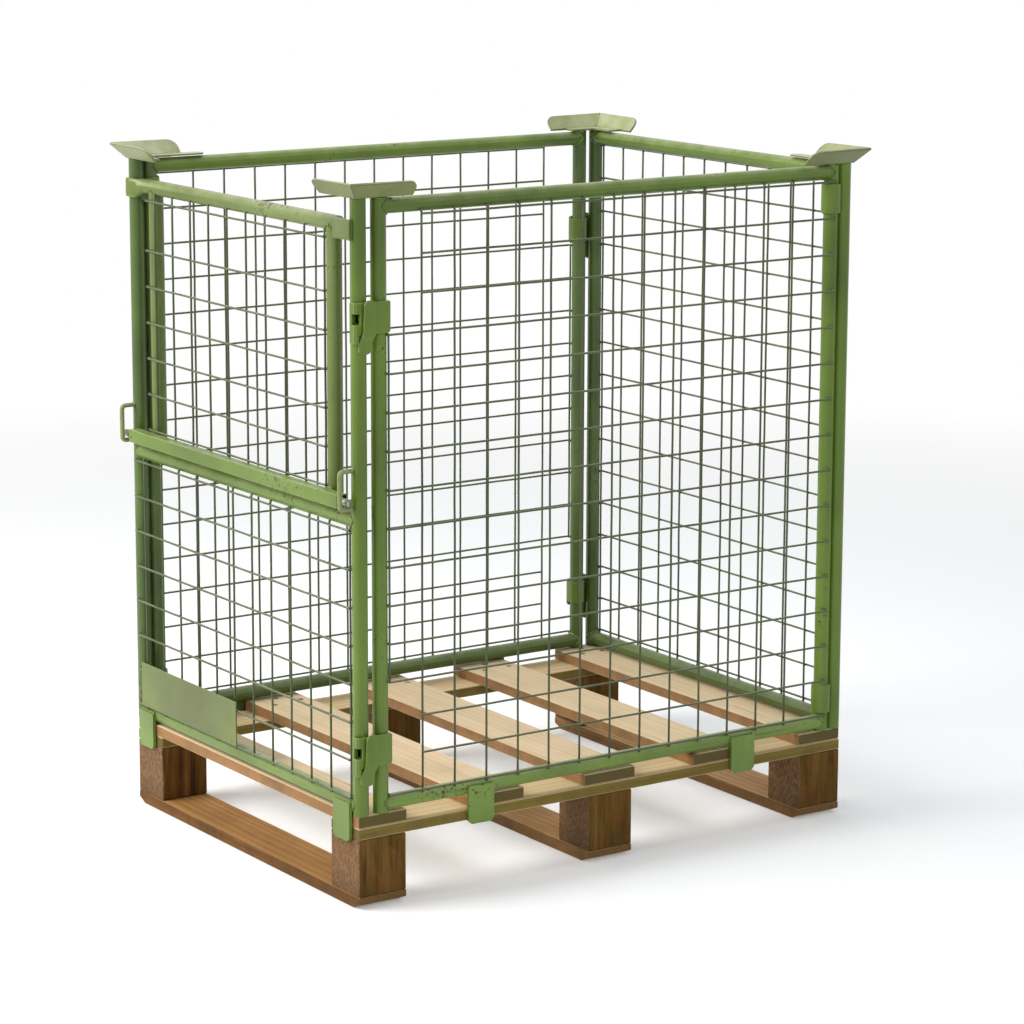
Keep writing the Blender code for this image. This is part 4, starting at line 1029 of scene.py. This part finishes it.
def build_pallet():
    """Timber with its own grain on every piece, and three nails where a board crosses a stringer."""
    for number, node in enumerate(sorted(n for n in nodes if body_of[n] == "pallet")):
        seed = 3.7 + 2.31 * number
        name = node + "_wood"
        kind = node if node in TIMBER else node.split("_")[0]
        if kind in TIMBER:
            wood = wood_material(name, seed, **TIMBER[kind])
        else:
            wood = block_material(name, seed)
        refine(node, 0.0006, [wood], 2)
    shape = bmesh.new()
    for board in [n for n in nodes if n.startswith("deck_board")]:
        low, high = box(board)
        for stringer in ("stringer_front", "stringer_back"):
            middle = centre(stringer)
            for share, shift in ((0.22, -0.016), (0.5, 0.014), (0.78, -0.012)):
                x = low.x + (high.x - low.x) * share + chance.uniform(-0.003, 0.003)
                y = middle.y + shift + chance.uniform(-0.003, 0.003)
                nail(shape, Vector((x, y, high.z)))
    make_piece("deck_nails", shape, "pallet", [nail_steel], 40.0)


build_pallet()


# Stage, light and camera

FLOOR_GLOW = 0.245
FLOOR_RADIUS = 3.6
WORLD_LIGHT = 0.25


def stage_material():
    """White floor that keeps the object's shadow and fades into the white world behind it."""
    material = bpy.data.materials.new("studio_floor")
    g = Graph(material)
    place = g.add("ShaderNodeTexCoord").outputs["Object"]
    distance = g.add("ShaderNodeVectorMath", {0: place}, operation="LENGTH").outputs["Value"]
    seen = g.seen()
    colour = g.cover(rgb(0.885, 0.90, 0.915), g.noise(place, 3.0, 2.0), 0.3, rgb(0.865, 0.88, 0.895))
    diffuse = g.add("ShaderNodeBsdfDiffuse", {"Color": colour}).outputs[0]
    values = {"Color": rgb(0.97, 0.995, 1.03), "Strength": g.math("MULTIPLY", seen, FLOOR_GLOW)}
    glow = g.add("ShaderNodeEmission", values).outputs[0]
    lit = g.add("ShaderNodeAddShader", {0: diffuse, 1: glow}).outputs[0]
    clear = g.add("ShaderNodeBsdfTransparent").outputs[0]
    fade = g.step(distance, 1.5, 3.4)
    g.finish(g.add("ShaderNodeMixShader", {0: fade, 1: lit, 2: clear}))
    return material


def build_floor():
    """A round floor in rings, only a hair under the pallet."""
    shape = bmesh.new()
    rings, steps = 16, 64
    middle = shape.verts.new((0, 0, 0))
    previous = None
    for i in range(1, rings + 1):
        radius = FLOOR_RADIUS * i / rings
        ring = [shape.verts.new(on_circle(radius, k / steps)) for k in range(steps)]
        for k in range(steps):
            j = (k + 1) % steps
            if previous:
                shape.faces.new((previous[k], ring[k], ring[j], previous[j]))
            else:
                shape.faces.new((middle, ring[k], ring[j]))
        previous = ring
    mesh = bpy.data.meshes.new("studio_floor")
    shape.to_mesh(mesh)
    shape.free()
    mesh.materials.append(stage_material())
    floor = bpy.data.objects.new("studio_floor", mesh)
    floor.location = (0, 0, -0.0004)
    bpy.context.scene.collection.objects.link(floor)


def build_world():
    """White where it is seen, and weaker where it lights the object."""
    world = bpy.data.worlds.new("studio")
    bpy.context.scene.world = world
    g = Graph(world, "ShaderNodeOutputWorld")
    values = {"Value": g.seen(), "To Min": WORLD_LIGHT, "To Max": 1.0}
    strength = g.add("ShaderNodeMapRange", values).outputs["Result"]
    g.finish(g.add("ShaderNodeBackground", {"Color": rgb(1, 1, 1), "Strength": strength}))


def area_light(name, place, target, size, power, colour=(1, 1, 1)):
    data = bpy.data.lights.new(name, "AREA")
    data.shape = "RECTANGLE"
    data.size, data.size_y = size
    data.energy = power
    data.color = colour
    lamp = bpy.data.objects.new(name, data)
    lamp.location = place
    lamp.rotation_euler = (Vector(target) - Vector(place)).to_track_quat("-Z", "Y").to_euler()
    bpy.context.scene.collection.objects.link(lamp)


def build_camera():
    """The camera that was fitted to the photo."""
    data = bpy.data.cameras.new("view")
    data.lens = 120.8
    data.sensor_width = 36.0
    data.shift_x = 0.03162
    data.shift_y = -0.02963
    data.clip_end = 100.0
    camera = bpy.data.objects.new("view", data)
    direction = Vector((0.54489, 0.81565, -0.19444)).normalized()
    turn = direction.to_track_quat("-Z", "Y").to_matrix() @ Matrix.Rotation(math.radians(0.069), 3, "Z")
    camera.matrix_world = Matrix.Translation((-2.6389, -3.9304, 1.4121)) @ turn.to_4x4()
    bpy.context.scene.collection.objects.link(camera)
    bpy.context.scene.camera = camera


build_floor()
build_world()
area_light("key_left", (-3.0, 1.1, 2.3), (0, 0, 0.40), (2.2, 2.0), 126.0, (1.0, 0.95, 0.90))
area_light("fill_front", (-0.6, -3.8, 2.4), (0, 0, 0.4), (3.0, 2.0), 42.0)
area_light("top_soft", (0.0, 0.4, 3.6), (0, 0, 0.3), (2.4, 2.4), 49.0, (0.97, 0.985, 1.0))
build_camera()
bpy.context.scene.view_settings.view_transform = "Standard"
